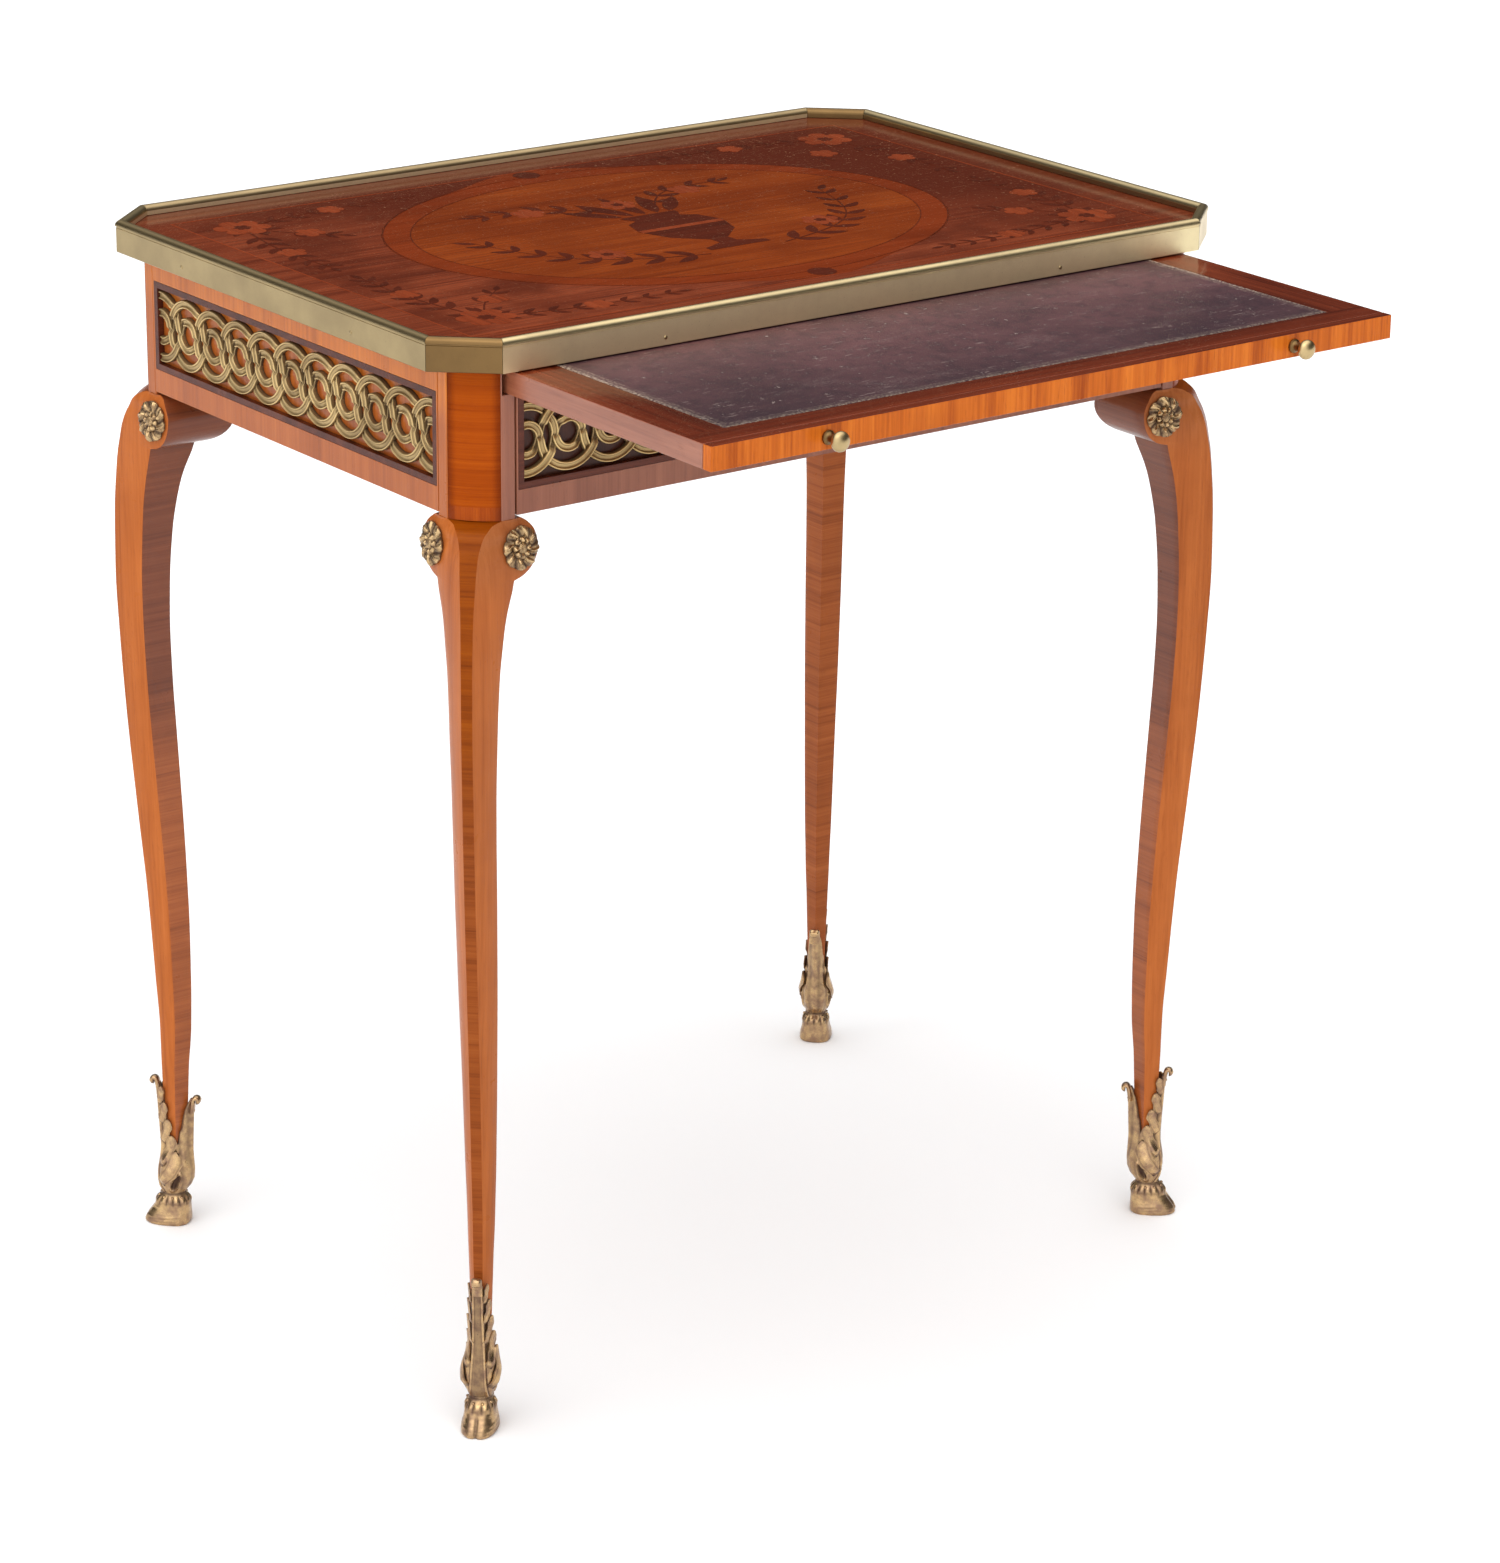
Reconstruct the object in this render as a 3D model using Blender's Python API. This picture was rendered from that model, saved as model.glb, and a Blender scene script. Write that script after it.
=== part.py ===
"""Small writing table on cabriole legs: carcass, slide, drawer, gallery and brass shoes.

Metres, +Z up. The origin is under the middle of the table's box with the slide pulled out.
The front, where the writing slide comes out, faces -Y.
"""
import math

import bmesh
import bpy
from mathutils import Matrix, Vector
from mathutils.geometry import delaunay_2d_cdt

# Overall sizes
height = 0.7238
half_width = 0.3117
half_depth = 0.2138
overhang_x = 0.0182
overhang_y = 0.0125
frieze_height = 0.0927
slide_travel = 0.205
play = 0.0003
weld = 0.00001

# Gallery round the top
rim_radius = 0.00375
wall_thickness = 0.0030
gallery_height = 0.0213
cant_x = 0.0350
cant_y = 0.0310
rim_steps = 6

# Top panel and its veneers
veneer_thickness = 0.0012
core_thickness = 0.0130
border_width = 0.0300
ring_x_share = 0.724
ring_y_share = 0.913
ring_width = 0.0185
tie_reach = 0.0300
tie_width = 0.0350
oval_steps = 48

# Carcass
board_thickness = 0.0160
post_width = 0.0332
post_chamfer = 0.0237
pilaster_bulge = 0.0025
pilaster_shares = (-0.97, -0.5, 0, 0.5, 0.97)
quirk_depth = 0.0008

# Pierced frets and the recesses they lie in
recess_margin = 0.0177
recess_height = 0.0595
recess_depth = 0.0045
edging_width = 0.0043
fret_margin = 0.0058
fret_thickness = 0.0040
band_width = 0.0054
small_ring_radius = 0.0122
ring_clearance = 0.0015
pitch = 0.0317
fret_end_inset = 0.0025
big_ring_steps = 14
small_ring_steps = 8

# Writing slide
slide_side_gap = 0.0043
slide_head_gap = 0.0009
slide_slot_gap = 0.0005
slide_thickness = 0.0153
slide_back_room = 0.0376
lipping_depth = 0.0080
lipping_softness = 0.0020
leather_side_border = 0.0295
leather_front_border = 0.0275
leather_back_border = 0.0500
leather_thickness = 0.0012
knob_share = 0.686
knob_radius = 0.00625
knob_length = 0.0160
knob_steps = 12
knob_profile_shares = ((0, 0.58), (0.10, 0.72), (0.18, 0.62), (0.34, 0.50), (0.50, 0.62),
                       (0.66, 0.92), (0.80, 1.0), (0.92, 0.80), (1.0, 0.36))
stop_width = 0.0080
stop_length = 0.0150
stop_drop = 0.0100

# Drawer behind the front frieze
drawer_gap = 0.0015
drawer_front_thickness = 0.0180
drawer_head_gap = 0.0017
drawer_side_inset = 0.0013
drawer_side_thickness = 0.0090
drawer_side_rise = 0.0100
drawer_side_head_gap = 0.0020
drawer_bottom_rise = 0.0030
drawer_bottom_thickness = 0.0050
drawer_back_room = 0.0178
drawer_back_thickness = 0.0080

# Bearers and runners inside
bearer_reach = 0.0372
bearer_thickness = 0.0122
slide_guide_gap = 0.0010
runner_reach = 0.0332
runner_rise = 0.0005
lug_width = 0.0100
lug_length = 0.0200
rail_depth = 0.0147

# Legs: shares are of leg_height, of knee_reach, of strip_half, a turn, and of ear_reach
foot_end = 0.0460
knee_drop = 0.0020
ledge_height = 0.0010
knee_reach = 0.0135
strip_half = 0.0035
ear_radius = 0.0195
ear_centre = 0.0300
foot_scale = 0.72
foot_joint = 0.1200
leg_row_shares = (
    (1.0000, -1.281, 4.94, 0.045, 0.610),
    (0.9970, -0.874, 3.46, 0.050, 0.610),
    (0.9938, -0.630, 3.03, 0.055, 0.610),
    (0.9866, -0.259, 2.29, 0.065, 0.610),
    (0.9759, -0.022, 1.83, 0.083, 0.610),
    (0.9688, 0.148, 1.63, 0.093, 0.610),
    (0.9510, 0.407, 1.47, 0.120, 0.610),
    (0.9336, 0.550, 1.34, 0.148, 0.610),
    (0.9177, 0.674, 1.23, 0.170, 0.566),
    (0.9038, 0.741, 1.14, 0.190, 0.517),
    (0.8869, 0.811, 1.09, 0.210, 0.469),
    (0.8566, 0.911, 1.03, 0.235, 0.412),
    (0.8263, 0.956, 1.00, 0.260, 0.372),
    (0.7631, 1.000, 0.99, 0.280, 0.329),
    (0.6999, 0.911, 0.99, 0.290, 0.315),
    (0.6358, 0.785, 0.99, 0.295, 0.325),
    (0.5717, 0.622, 0.99, 0.300, 0.347),
    (0.5076, 0.415, 0.99, 0.305, 0.370),
    (0.4434, 0.200, 0.99, 0.310, 0.392),
    (0.3785, -0.030, 0.99, 0.320, 0.408),
    (0.3135, -0.207, 0.98, 0.330, 0.418),
    (0.2476, -0.356, 0.96, 0.330, 0.416),
    (0.1799, -0.504, 0.90, 0.325, 0.402),
)
face_part_shares = ((0, 0), (0.33, 0.9), (0.70, 0.8))
ear_turn_shares = (0.135, 0.190, 0.250, 0.335, 0.435, 0.535, 0.645, 0.755, 0.855, 0.930, 1.0)
face_bulge = 0.0009
foot_turn_share = 0.32
foot_strip_half = 0.0030
foot_reach = 0.0070
foot_back = 0.0182

# Rosettes on the ears
rosette_radius = 0.0138
rosette_thickness = 0.0040
rosette_petals = 8
rosette_valley_share = 0.89
rosette_ring_shares = ((0.94, 0), (1.0, 0.30), (0.64, 0.88), (0.34, 0.62), (0.20, 1.0))
rosette_inset = 0.0343
rosette_drop = 0.0195

# Brass shoes
shoe_inset = 0.0088
shoe_floor = 0.0457
shoe_scale_share = 1.05
outer_leaf_tip = 0.1110
inner_leaf_tip = 0.0980
leaf_cleft = 0.0590
leaf_curl = 0.0038
leaf_half = 0.0112
leaf_out = 0.0105
leaf_in = 0.0146
toe_reach = 0.0205
heel_reach = 0.0116
hoof_half = 0.0118
shoe_level_shares = (
    (0.000, 0.94, 0.90, 0.94),
    (0.018, 1.00, 1.00, 1.00),
    (0.070, 0.88, 1.00, 0.96),
    (0.120, 0.70, 1.00, 0.86),
    (0.158, 0.62, 0.97, 0.79),
    (0.205, 0.40, 0.70, 0.68),
    (0.260, 0.47, 0.95, 0.80),
    (0.324, 0.51, 1.18, 0.92),
)
shoe_leaf_shares = (0.30, 0.62, 0.86)
shoe_turn_shares = (0.40, 0.72)
shoe_lining_share = 0.8
shoe_curl_share = 0.7
shoe_rim_shares = (1.0, 0.75, 0.40, 0.12, 0.0, 0.12, 0.33, 0.74, 1.0)

# Colours
orange_wood = (0.36, 0.135, 0.040)
red_wood = (0.27, 0.085, 0.035)
dark_wood = (0.055, 0.022, 0.020)
plain_wood = (0.36, 0.20, 0.11)
medallion_wood = (0.34, 0.150, 0.050)
leather_colour = (0.17, 0.055, 0.025)
gilt = (0.62, 0.42, 0.17)

# Worked out from the sizes above
body_half_width = half_width - overhang_x
body_half_depth = half_depth - overhang_y
rest_front = -body_half_depth - slide_travel
centre_shift = (-rest_front + knob_length - half_depth) / 2
panel_under = height - gallery_height
veneer_bottom = panel_under + core_thickness + play
veneer_top = veneer_bottom + veneer_thickness
border_half_x = half_width - 2 * rim_radius - border_width
border_half_y = half_depth - 2 * rim_radius - border_width
ring_x = border_half_x * ring_x_share
ring_y = border_half_y * ring_y_share
board_top = panel_under - play
board_bottom = board_top - frieze_height
fret_z = board_top - recess_margin - recess_height / 2
fret_half_height = recess_height / 2 - edging_width - play
big_ring_radius = fret_half_height - ring_clearance - band_width / 2
slide_half_width = body_half_width - post_chamfer - slide_side_gap
slide_top = board_top - slide_head_gap
slide_bottom = slide_top - slide_thickness
slide_slot_bottom = slide_bottom - slide_slot_gap
slide_depth = 2 * body_half_depth - slide_back_room
inside_half_depth = body_half_depth - post_width - play
bearer_outer = body_half_width - board_thickness - play
kicker_inner = bearer_outer - bearer_reach
kicker_bottom = slide_bottom - play - bearer_thickness
drawer_front_half = body_half_width - post_width - drawer_gap
drawer_side_outer = drawer_front_half - drawer_side_inset
drawer_side_bottom = board_bottom + drawer_side_rise
drawer_side_top = kicker_bottom - drawer_side_head_gap
drawer_back_y = inside_half_depth - drawer_back_room
knee_top = board_bottom - knee_drop
leg_height = knee_top - foot_end
ear_z = board_bottom - play - ear_radius
ear_reach = ear_centre + ear_radius
rosette_z = board_bottom - rosette_drop
corner_signs = (("front_left", -1, -1), ("front_right", 1, -1), ("back_left", -1, 1),
                ("back_right", 1, 1))


def clear_scene():
    """Start from an empty scene."""
    for item in list(bpy.data.objects):
        bpy.data.objects.remove(item, do_unlink=True)


def finish(name, colour, roughness, metallic):
    """A named material."""
    material = bpy.data.materials.get(name)
    if material is None:
        material = bpy.data.materials.new(name)
        material.use_nodes = True
        shader = material.node_tree.nodes["Principled BSDF"]
        shader.inputs["Base Color"].default_value = (*colour, 1)
        shader.inputs["Roughness"].default_value = roughness
        shader.inputs["Metallic"].default_value = metallic
    return material


def wood(name, colour=orange_wood):
    """Polished veneer or plain wood."""
    return finish(name, colour, 0.32, 0)


def brass(name):
    """Gilt brass."""
    return finish(name, gilt, 0.30, 1)


def add(name, bm, material, smooth=False):
    """Close a mesh into one named object with outward faces."""
    bmesh.ops.remove_doubles(bm, verts=bm.verts, dist=weld)
    bmesh.ops.recalc_face_normals(bm, faces=bm.faces)
    mesh = bpy.data.meshes.new(name)
    bm.to_mesh(mesh)
    bm.free()
    if smooth:
        mesh.shade_smooth()
        mesh.set_sharp_from_angle(angle=math.radians(32))
    mesh.materials.append(material)
    item = bpy.data.objects.new(name, mesh)
    bpy.context.collection.objects.link(item)
    return item


def place(item, x=0.0, y=0.0, z=0.0, turn=None):
    """Put an object at a place measured from the table's own middle."""
    item.location = (x, y + centre_shift, z)
    if turn is not None:
        item.rotation_euler = turn
    return item


def empty(name, y, z):
    """A frame that moving pieces hang from."""
    item = bpy.data.objects.new(name, None)
    bpy.context.collection.objects.link(item)
    item.location = (0, y + centre_shift, z)
    return item


def hang(item, parent):
    """Hand an object to a moving frame without moving it."""
    item.parent = parent
    item.matrix_parent_inverse = Matrix.Translation(-parent.location)
    return item


def block(bm, low, high):
    """Add a box to a mesh."""
    corners = [bm.verts.new((x, y, z)) for x in (low[0], high[0])
               for y in (low[1], high[1]) for z in (low[2], high[2])]
    for face in ((0, 1, 3, 2), (4, 6, 7, 5), (0, 4, 5, 1), (2, 3, 7, 6), (0, 2, 6, 4), (1, 5, 7, 3)):
        bm.faces.new([corners[i] for i in face])


def box(name, low, high, material):
    """One box between two corners."""
    bm = bmesh.new()
    block(bm, low, high)
    return place(add(name, bm, material))


def loft(bm, rings, closed=True):
    """Skin a list of rings of points and cap both ends."""
    layers = [[bm.verts.new(point) for point in ring] for ring in rings]
    count = len(rings[0])
    for lower, upper in zip(layers, layers[1:]):
        for i in range(count):
            j = (i + 1) % count
            bm.faces.new((lower[i], lower[j], upper[j], upper[i]))
    if closed:
        bm.faces.new(layers[0])
        bm.faces.new(layers[-1])


def prism(name, outline, low, high, material):
    """An upright solid over an outline in plan."""
    bm = bmesh.new()
    loft(bm, [[(x, y, z) for x, y in outline] for z in (low, high)])
    return place(add(name, bm, material))


def circle(radius_x, radius_y, steps, x=0.0, y=0.0, phase=0.0):
    """Points round an oval."""
    turns = [2 * math.pi * (i + phase) / steps for i in range(steps)]
    return [(x + radius_x * math.cos(t), y + radius_y * math.sin(t)) for t in turns]


def rectangle(half_x, half_y, x=0.0, y=0.0):
    """Corners of a rectangle about a middle."""
    return [(x - half_x, y - half_y), (x + half_x, y - half_y),
            (x + half_x, y + half_y), (x - half_x, y + half_y)]


def sheet_mesh(outlines, keep, thickness):
    """A flat sheet cut by outlines: keep is asked which outlines a stretch lies inside."""
    points, loops = [], []
    for outline in outlines:
        loops.append(list(range(len(points), len(points) + len(outline))))
        points.extend(Vector(point) for point in outline)
    verts, _, faces, _, _, origins = delaunay_2d_cdt(points, [], loops, 0, weld / 10)
    bm = bmesh.new()
    corners = [bm.verts.new((point.x, point.y, 0)) for point in verts]
    for face, origin in zip(faces, origins):
        if keep(set(origin)):
            bm.faces.new([corners[i] for i in face])
    loose = [vert for vert in bm.verts if not vert.link_faces]
    bmesh.ops.delete(bm, geom=loose, context="VERTS")
    bmesh.ops.remove_doubles(bm, verts=bm.verts, dist=weld)
    bmesh.ops.dissolve_limit(bm, angle_limit=math.radians(1), verts=bm.verts, edges=bm.edges)
    moved = bmesh.ops.extrude_face_region(bm, geom=list(bm.faces), use_keep_orig=True)
    raised = [item for item in moved["geom"] if isinstance(item, bmesh.types.BMVert)]
    bmesh.ops.translate(bm, vec=(0, 0, thickness), verts=raised)
    bmesh.ops.triangulate(bm, faces=bm.faces)
    return bm


def between(inside):
    """Inside the first outline and outside all the others."""
    return inside == {0}


def veneer(name, outlines, colour, keep=between):
    """One piece of the top's marquetry."""
    bm = sheet_mesh(outlines, keep, veneer_thickness)
    return place(add(name, bm, wood(name, colour)), z=veneer_bottom)


def gallery_corners():
    """Plan corners of the gallery's outer face and the mitre direction at each."""
    points = []
    for sx, sy, flip in ((1, -1, 0), (1, 1, 1), (-1, 1, 0), (-1, -1, 1)):
        pair = [(sx * (half_width - cant_x), sy * half_depth),
                (sx * half_width, sy * (half_depth - cant_y))]
        points.extend(reversed(pair) if flip else pair)
    mitres = []
    for i, point in enumerate(points):
        normals = []
        for a, b in ((points[i - 1], point), (point, points[(i + 1) % len(points)])):
            way = (Vector(b) - Vector(a)).normalized()
            normals.append(Vector((way.y, -way.x)))
        total = normals[0] + normals[1]
        mitres.append(total * 2 / total.length_squared)
    return [Vector(point) for point in points], mitres


def panel_outline(inset):
    """The gallery's plan moved in by an inset."""
    points, mitres = gallery_corners()
    return [tuple(point - mitre * inset) for point, mitre in zip(points, mitres)]


def build_gallery():
    """Eight mitred brass lengths: a thin wall with a rounded rim over the panel's edge."""
    section = [(0, panel_under), (0, height - rim_radius - play)]
    for i in range(rim_steps + 1):
        turn = math.pi * i / rim_steps
        section.append((rim_radius * (1 - math.cos(turn)),
                        height - rim_radius + rim_radius * math.sin(turn)))
    section += [(2 * rim_radius, veneer_top + play), (wall_thickness, veneer_top + play),
                (wall_thickness, panel_under)]
    points, mitres = gallery_corners()
    names = ("front_right", "right", "back_right", "back", "back_left", "left", "front_left", "front")
    for i, name in enumerate(names):
        j = (i + 1) % len(points)
        way = (points[j] - points[i]).normalized() * play / 2
        rings = []
        for point, mitre, shift in ((points[i], mitres[i], way), (points[j], mitres[j], -way)):
            at = [point + shift - mitre * inset for inset, _ in section]
            rings.append([(spot.x, spot.y, z) for spot, (_, z) in zip(at, section)])
        bm = bmesh.new()
        loft(bm, rings)
        title = "gallery_" + name
        place(add(title, bm, brass("gilt_gallery"), smooth=True))


def ring_outline():
    """Outer edge of the oval banding, flared to the border at front and back."""
    outline = []
    for x, y in circle(ring_x, ring_y, oval_steps, phase=0.5):
        flare = tie_reach * math.exp(-(x / tie_width) ** 2)
        outline.append((x, math.copysign(min(border_half_y, abs(y) + flare), y)))
    return outline


def grown(outline, amount):
    """An outline pushed outward from the middle by a small amount."""
    pushed = []
    for x, y in outline:
        length = math.hypot(x, y)
        pushed.append((x * (1 + amount / length), y * (1 + amount / length)))
    return pushed


def build_top():
    """Core panel, and the marquetry laid on it in fitted pieces."""
    prism("top_panel", panel_outline(wall_thickness + play), panel_under,
          panel_under + core_thickness, wood("top_core", plain_wood))
    edge = panel_outline(wall_thickness + 2 * play)
    veneer("top_banding", [edge, rectangle(border_half_x, border_half_y)], red_wood)
    outer = ring_outline()
    oval = circle(ring_x - ring_width, ring_y - ring_width, oval_steps, phase=0.5)
    veneer("oval_ring", [outer, oval], orange_wood)
    veneer("oval_medallion", [grown(oval, -play)], medallion_wood)
    span = border_half_x / 2
    for name, side in (("field_left", -1), ("field_right", 1)):
        panel = rectangle(span - play, border_half_y - play, side * span, 0)
        veneer(name, [panel, grown(outer, play)], dark_wood)


def ring_pattern(half):
    """Frame, then big and small interlaced rings, each as an outer and an inner outline."""
    run = 2 * (half - fret_end_inset)
    pitches = 2 * round(run / pitch / 2)
    outlines = [rectangle(half, fret_half_height)]
    for i in range(pitches + 1):
        x = (i / pitches - 1 / 2) * run
        for radius, steps in ((big_ring_radius, big_ring_steps),
                              (small_ring_radius - band_width / 2, small_ring_steps)):
            for edge in (radius + band_width / 2, radius - band_width / 2):
                outlines.append(circle(edge, edge, steps, x, phase=0.5))
    return outlines


def on_band(inside):
    """Inside the frame and on the band of at least one ring."""
    if 0 not in inside:
        return False
    return any(i % 2 == 1 and i + 1 not in inside for i in inside if i)


def build_fret(name, half, x, y, turn):
    """One pierced fret standing upright in its recess."""
    bm = sheet_mesh(ring_pattern(half), on_band, fret_thickness)
    item = add(name, bm, brass("gilt_fret"))
    return place(item, x, y, fret_z, (math.pi / 2, 0, turn))


def build_edging(name, half, x, y, turn):
    """The dark banding round a recess, flush with the face."""
    outlines = [rectangle(half + edging_width, recess_height / 2 - play),
                rectangle(half + play, fret_half_height + play)]
    bm = sheet_mesh(outlines, between, recess_depth - play)
    return place(add(name, bm, wood("edging_wood", dark_wood)), x, y, fret_z, (math.pi / 2, 0, turn))


def recessed_board(name, half, recess_half, thickness, low, high, colour):
    """A board with a sunk panel in its outer face, drawn lying down with that face up."""
    bm = bmesh.new()
    middle = (low + high) / 2
    rise = (high - low) / 2
    outer = rectangle(half, rise)
    sunk = rectangle(recess_half, recess_height / 2, 0, fret_z - middle)
    rings = [[(x, y, -thickness) for x, y in outer], [(x, y, 0) for x, y in outer],
             [(x, y, 0) for x, y in sunk], [(x, y, -recess_depth) for x, y in sunk]]
    loft(bm, rings)
    return add(name, bm, wood(name, colour)), middle


def face_places():
    """Turn and position of each side of the body, outward face at zero depth."""
    return {"front": (0, -body_half_depth, 0), "back": (0, body_half_depth, math.pi),
            "left": (-body_half_width, 0, -math.pi / 2), "right": (body_half_width, 0, math.pi / 2)}


def build_frieze():
    """Side and back boards with their frets, and the drawer front with its own."""
    drawer = empty("drawer_frame", 0, board_bottom)
    spots = face_places()
    back_half = body_half_width - post_width - play
    front_top = slide_bottom - drawer_head_gap
    plan = (("front", drawer_front_half, drawer_front_thickness, front_top),
            ("back", back_half, board_thickness, board_top),
            ("left", inside_half_depth, board_thickness, board_top),
            ("right", inside_half_depth, board_thickness, board_top))
    for side, half, thickness, top in plan:
        fret_half = half - fret_margin
        x, y, turn = spots[side]
        name = "drawer_front" if side == "front" else "frieze_" + side
        recess_half = fret_half + edging_width + play
        board, middle = recessed_board(name, half, recess_half, thickness, board_bottom, top,
                                       orange_wood)
        place(board, x, y, middle, (math.pi / 2, 0, turn))
        inward = Matrix.Rotation(turn, 3, "Z") @ Vector((0, recess_depth - play, 0))
        fret = build_fret("fret_" + side, fret_half, x + inward.x, y + inward.y, turn)
        edging = build_edging("edging_" + side, fret_half, x + inward.x, y + inward.y, turn)
        if side == "front":
            for item in (board, fret, edging):
                hang(item, drawer)
    return drawer


def build_drawer(drawer):
    """Sides, back and bottom that run with the drawer front."""
    front = -body_half_depth + drawer_front_thickness + play
    inner = drawer_side_outer - drawer_side_thickness
    back = drawer_back_y - drawer_back_thickness
    floor = drawer_side_bottom + drawer_bottom_rise
    material = wood("drawer_lining", plain_wood)
    pieces = []
    for name, side in (("drawer_side_left", -1), ("drawer_side_right", 1)):
        across = sorted((side * inner, side * drawer_side_outer))
        pieces.append(box(name, (across[0], front, drawer_side_bottom),
                          (across[1], drawer_back_y, drawer_side_top), material))
    pieces.append(box("drawer_back", (-inner + play, back, floor + drawer_bottom_thickness + play),
                      (inner - play, drawer_back_y, drawer_side_top), material))
    pieces.append(box("drawer_bottom", (-inner + play, front, floor),
                      (inner - play, drawer_back_y, floor + drawer_bottom_thickness), material))
    for item in pieces:
        hang(item, drawer)


def build_runners():
    """Strips screwed to the inside of the side boards, and the rail under the drawer."""
    material = wood("inner_wood", plain_wood)
    deep = inside_half_depth
    kicker_top = slide_bottom - play
    guide_inner = slide_half_width + slide_guide_gap
    bearer = [(kicker_inner, kicker_bottom), (bearer_outer, kicker_bottom), (bearer_outer, board_top),
              (guide_inner, board_top), (guide_inner, kicker_top), (kicker_inner, kicker_top)]
    runner_top = drawer_side_bottom - play
    runner_bottom = board_bottom + runner_rise
    runner_inner = bearer_outer - runner_reach
    runner_guide_inner = drawer_side_outer + drawer_gap
    runner = [(runner_inner, runner_bottom), (bearer_outer, runner_bottom),
              (bearer_outer, drawer_side_top), (runner_guide_inner, drawer_side_top),
              (runner_guide_inner, runner_top), (runner_inner, runner_top)]
    for side, word in ((-1, "left"), (1, "right")):
        bm = bmesh.new()
        lugged = [(x - lug_width if x == kicker_inner else x, z) for x, z in bearer]
        plan = ((lugged, -deep), (lugged, -deep + lug_length), (bearer, -deep + lug_length),
                (bearer, deep))
        loft(bm, [[(side * x, y, z) for x, z in outline] for outline, y in plan])
        place(add("bearer_" + word, bm, material))
        bm = bmesh.new()
        loft(bm, [[(side * x, y, z) for x, z in runner] for y in (-deep, deep)])
        place(add("runner_" + word, bm, material))
    front = -body_half_depth + drawer_front_thickness + 2 * play
    box("front_rail", (-body_half_width + post_width + 2 * play, front, runner_bottom + play),
        (body_half_width - post_width - 2 * play, front + rail_depth, runner_top), material)


def build_slide():
    """Writing slide with its lipping, leather, knobs and stop blocks."""
    slide = empty("slide_frame", rest_front, slide_bottom)
    front = rest_front + lipping_depth + play
    back = rest_front + slide_depth
    leather_half_width = slide_half_width - leather_side_border
    leather_front = rest_front + leather_front_border
    leather_back = back - leather_back_border
    bm = bmesh.new()
    outer = [(-slide_half_width, front), (slide_half_width, front), (slide_half_width, back),
             (-slide_half_width, back)]
    sunk = [(-leather_half_width, leather_front), (leather_half_width, leather_front),
            (leather_half_width, leather_back), (-leather_half_width, leather_back)]
    loft(bm, [[(x, y, slide_bottom) for x, y in outer], [(x, y, slide_top) for x, y in outer],
              [(x, y, slide_top) for x, y in sunk],
              [(x, y, slide_top - leather_thickness) for x, y in sunk]])
    board = place(add("slide_board", bm, wood("slide_board", plain_wood)))
    lip = bmesh.new()
    soft = lipping_softness
    outline = [(-slide_half_width, rest_front + lipping_depth), (-slide_half_width, rest_front + soft),
               (-slide_half_width + soft, rest_front), (slide_half_width - soft, rest_front),
               (slide_half_width, rest_front + soft), (slide_half_width, rest_front + lipping_depth)]
    loft(lip, [[(x, y, z) for x, y in outline] for z in (slide_bottom, slide_top)])
    lipping = place(add("slide_lipping", lip, wood("slide_lipping", orange_wood)))
    leather = box("slide_leather", (-leather_half_width + play, leather_front + play,
                                    slide_top - leather_thickness + play),
                  (leather_half_width - play, leather_back - play, slide_top),
                  finish("slide_leather", leather_colour, 0.45, 0))
    for item in (board, lipping, leather):
        hang(item, slide)
    near = -inside_half_depth + lug_length + play
    stop_outer = kicker_inner - slide_guide_gap
    for side, word in ((-1, "left"), (1, "right")):
        hang(build_knob("knob_" + word, side * slide_half_width * knob_share), slide)
        across = sorted((side * stop_outer, side * (stop_outer - stop_width)))
        stop = box("stop_" + word, (across[0], near, slide_bottom - stop_drop),
                   (across[1], near + stop_length, slide_bottom - play),
                   wood("inner_wood", plain_wood))
        hang(stop, slide)


def build_knob(name, x):
    """A small turned brass pull."""
    bm = bmesh.new()
    rings = []
    for along, wide in knob_profile_shares:
        reach = knob_radius * wide
        rings.append([(a, -along * (knob_length - play) - play, b)
                      for a, b in circle(reach, reach, knob_steps)])
    loft(bm, rings)
    return place(add(name, bm, brass("gilt_knob"), smooth=True), x, rest_front,
                 (slide_top + slide_bottom) / 2)


def eased_row(rows, share):
    """Values at a height share, between the rows on either side."""
    rows = sorted(rows)
    for low, high in zip(rows, rows[1:]):
        if low[0] <= share <= high[0]:
            part = (share - low[0]) / (high[0] - low[0])
            return [a + (b - a) * part for a, b in zip(low[1:], high[1:])]
    return list(rows[-1][1:])


def shank_section(reach, strip, turn, back):
    """Plan of the leg: corner strip outside, two swelling faces, plain corner inside."""
    root = math.sqrt(2)
    edge = Vector((reach + strip, reach - strip)) / root
    arris = Vector((edge.x - turn * (edge.y + back), -back))
    run = edge - arris
    side = Vector((run.y, -run.x)).normalized() * face_bulge
    half = [tuple(arris + run * part + side * lift) for part, lift in face_part_shares]
    half.append(tuple(edge))
    mirror = [(b, a) for a, b in reversed(half)]
    return [(-back, -back)] + half + [(reach / root, reach / root)] + mirror


def ear_back(z):
    """How far back the scroll ear reaches at a height."""
    return ear_centre + math.sqrt(max(0, ear_radius ** 2 - (z - ear_z) ** 2))


def leg_section(z):
    """Plan of the leg at any height between the shoe and the knee's top."""
    share = (z - foot_end) / leg_height
    reach, strip, turn, back = eased_row(leg_row_shares, share)
    back = ear_back(z) if z > ear_z - ear_radius else back * ear_reach
    return shank_section(reach * knee_reach, strip * strip_half, turn, back)


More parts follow.
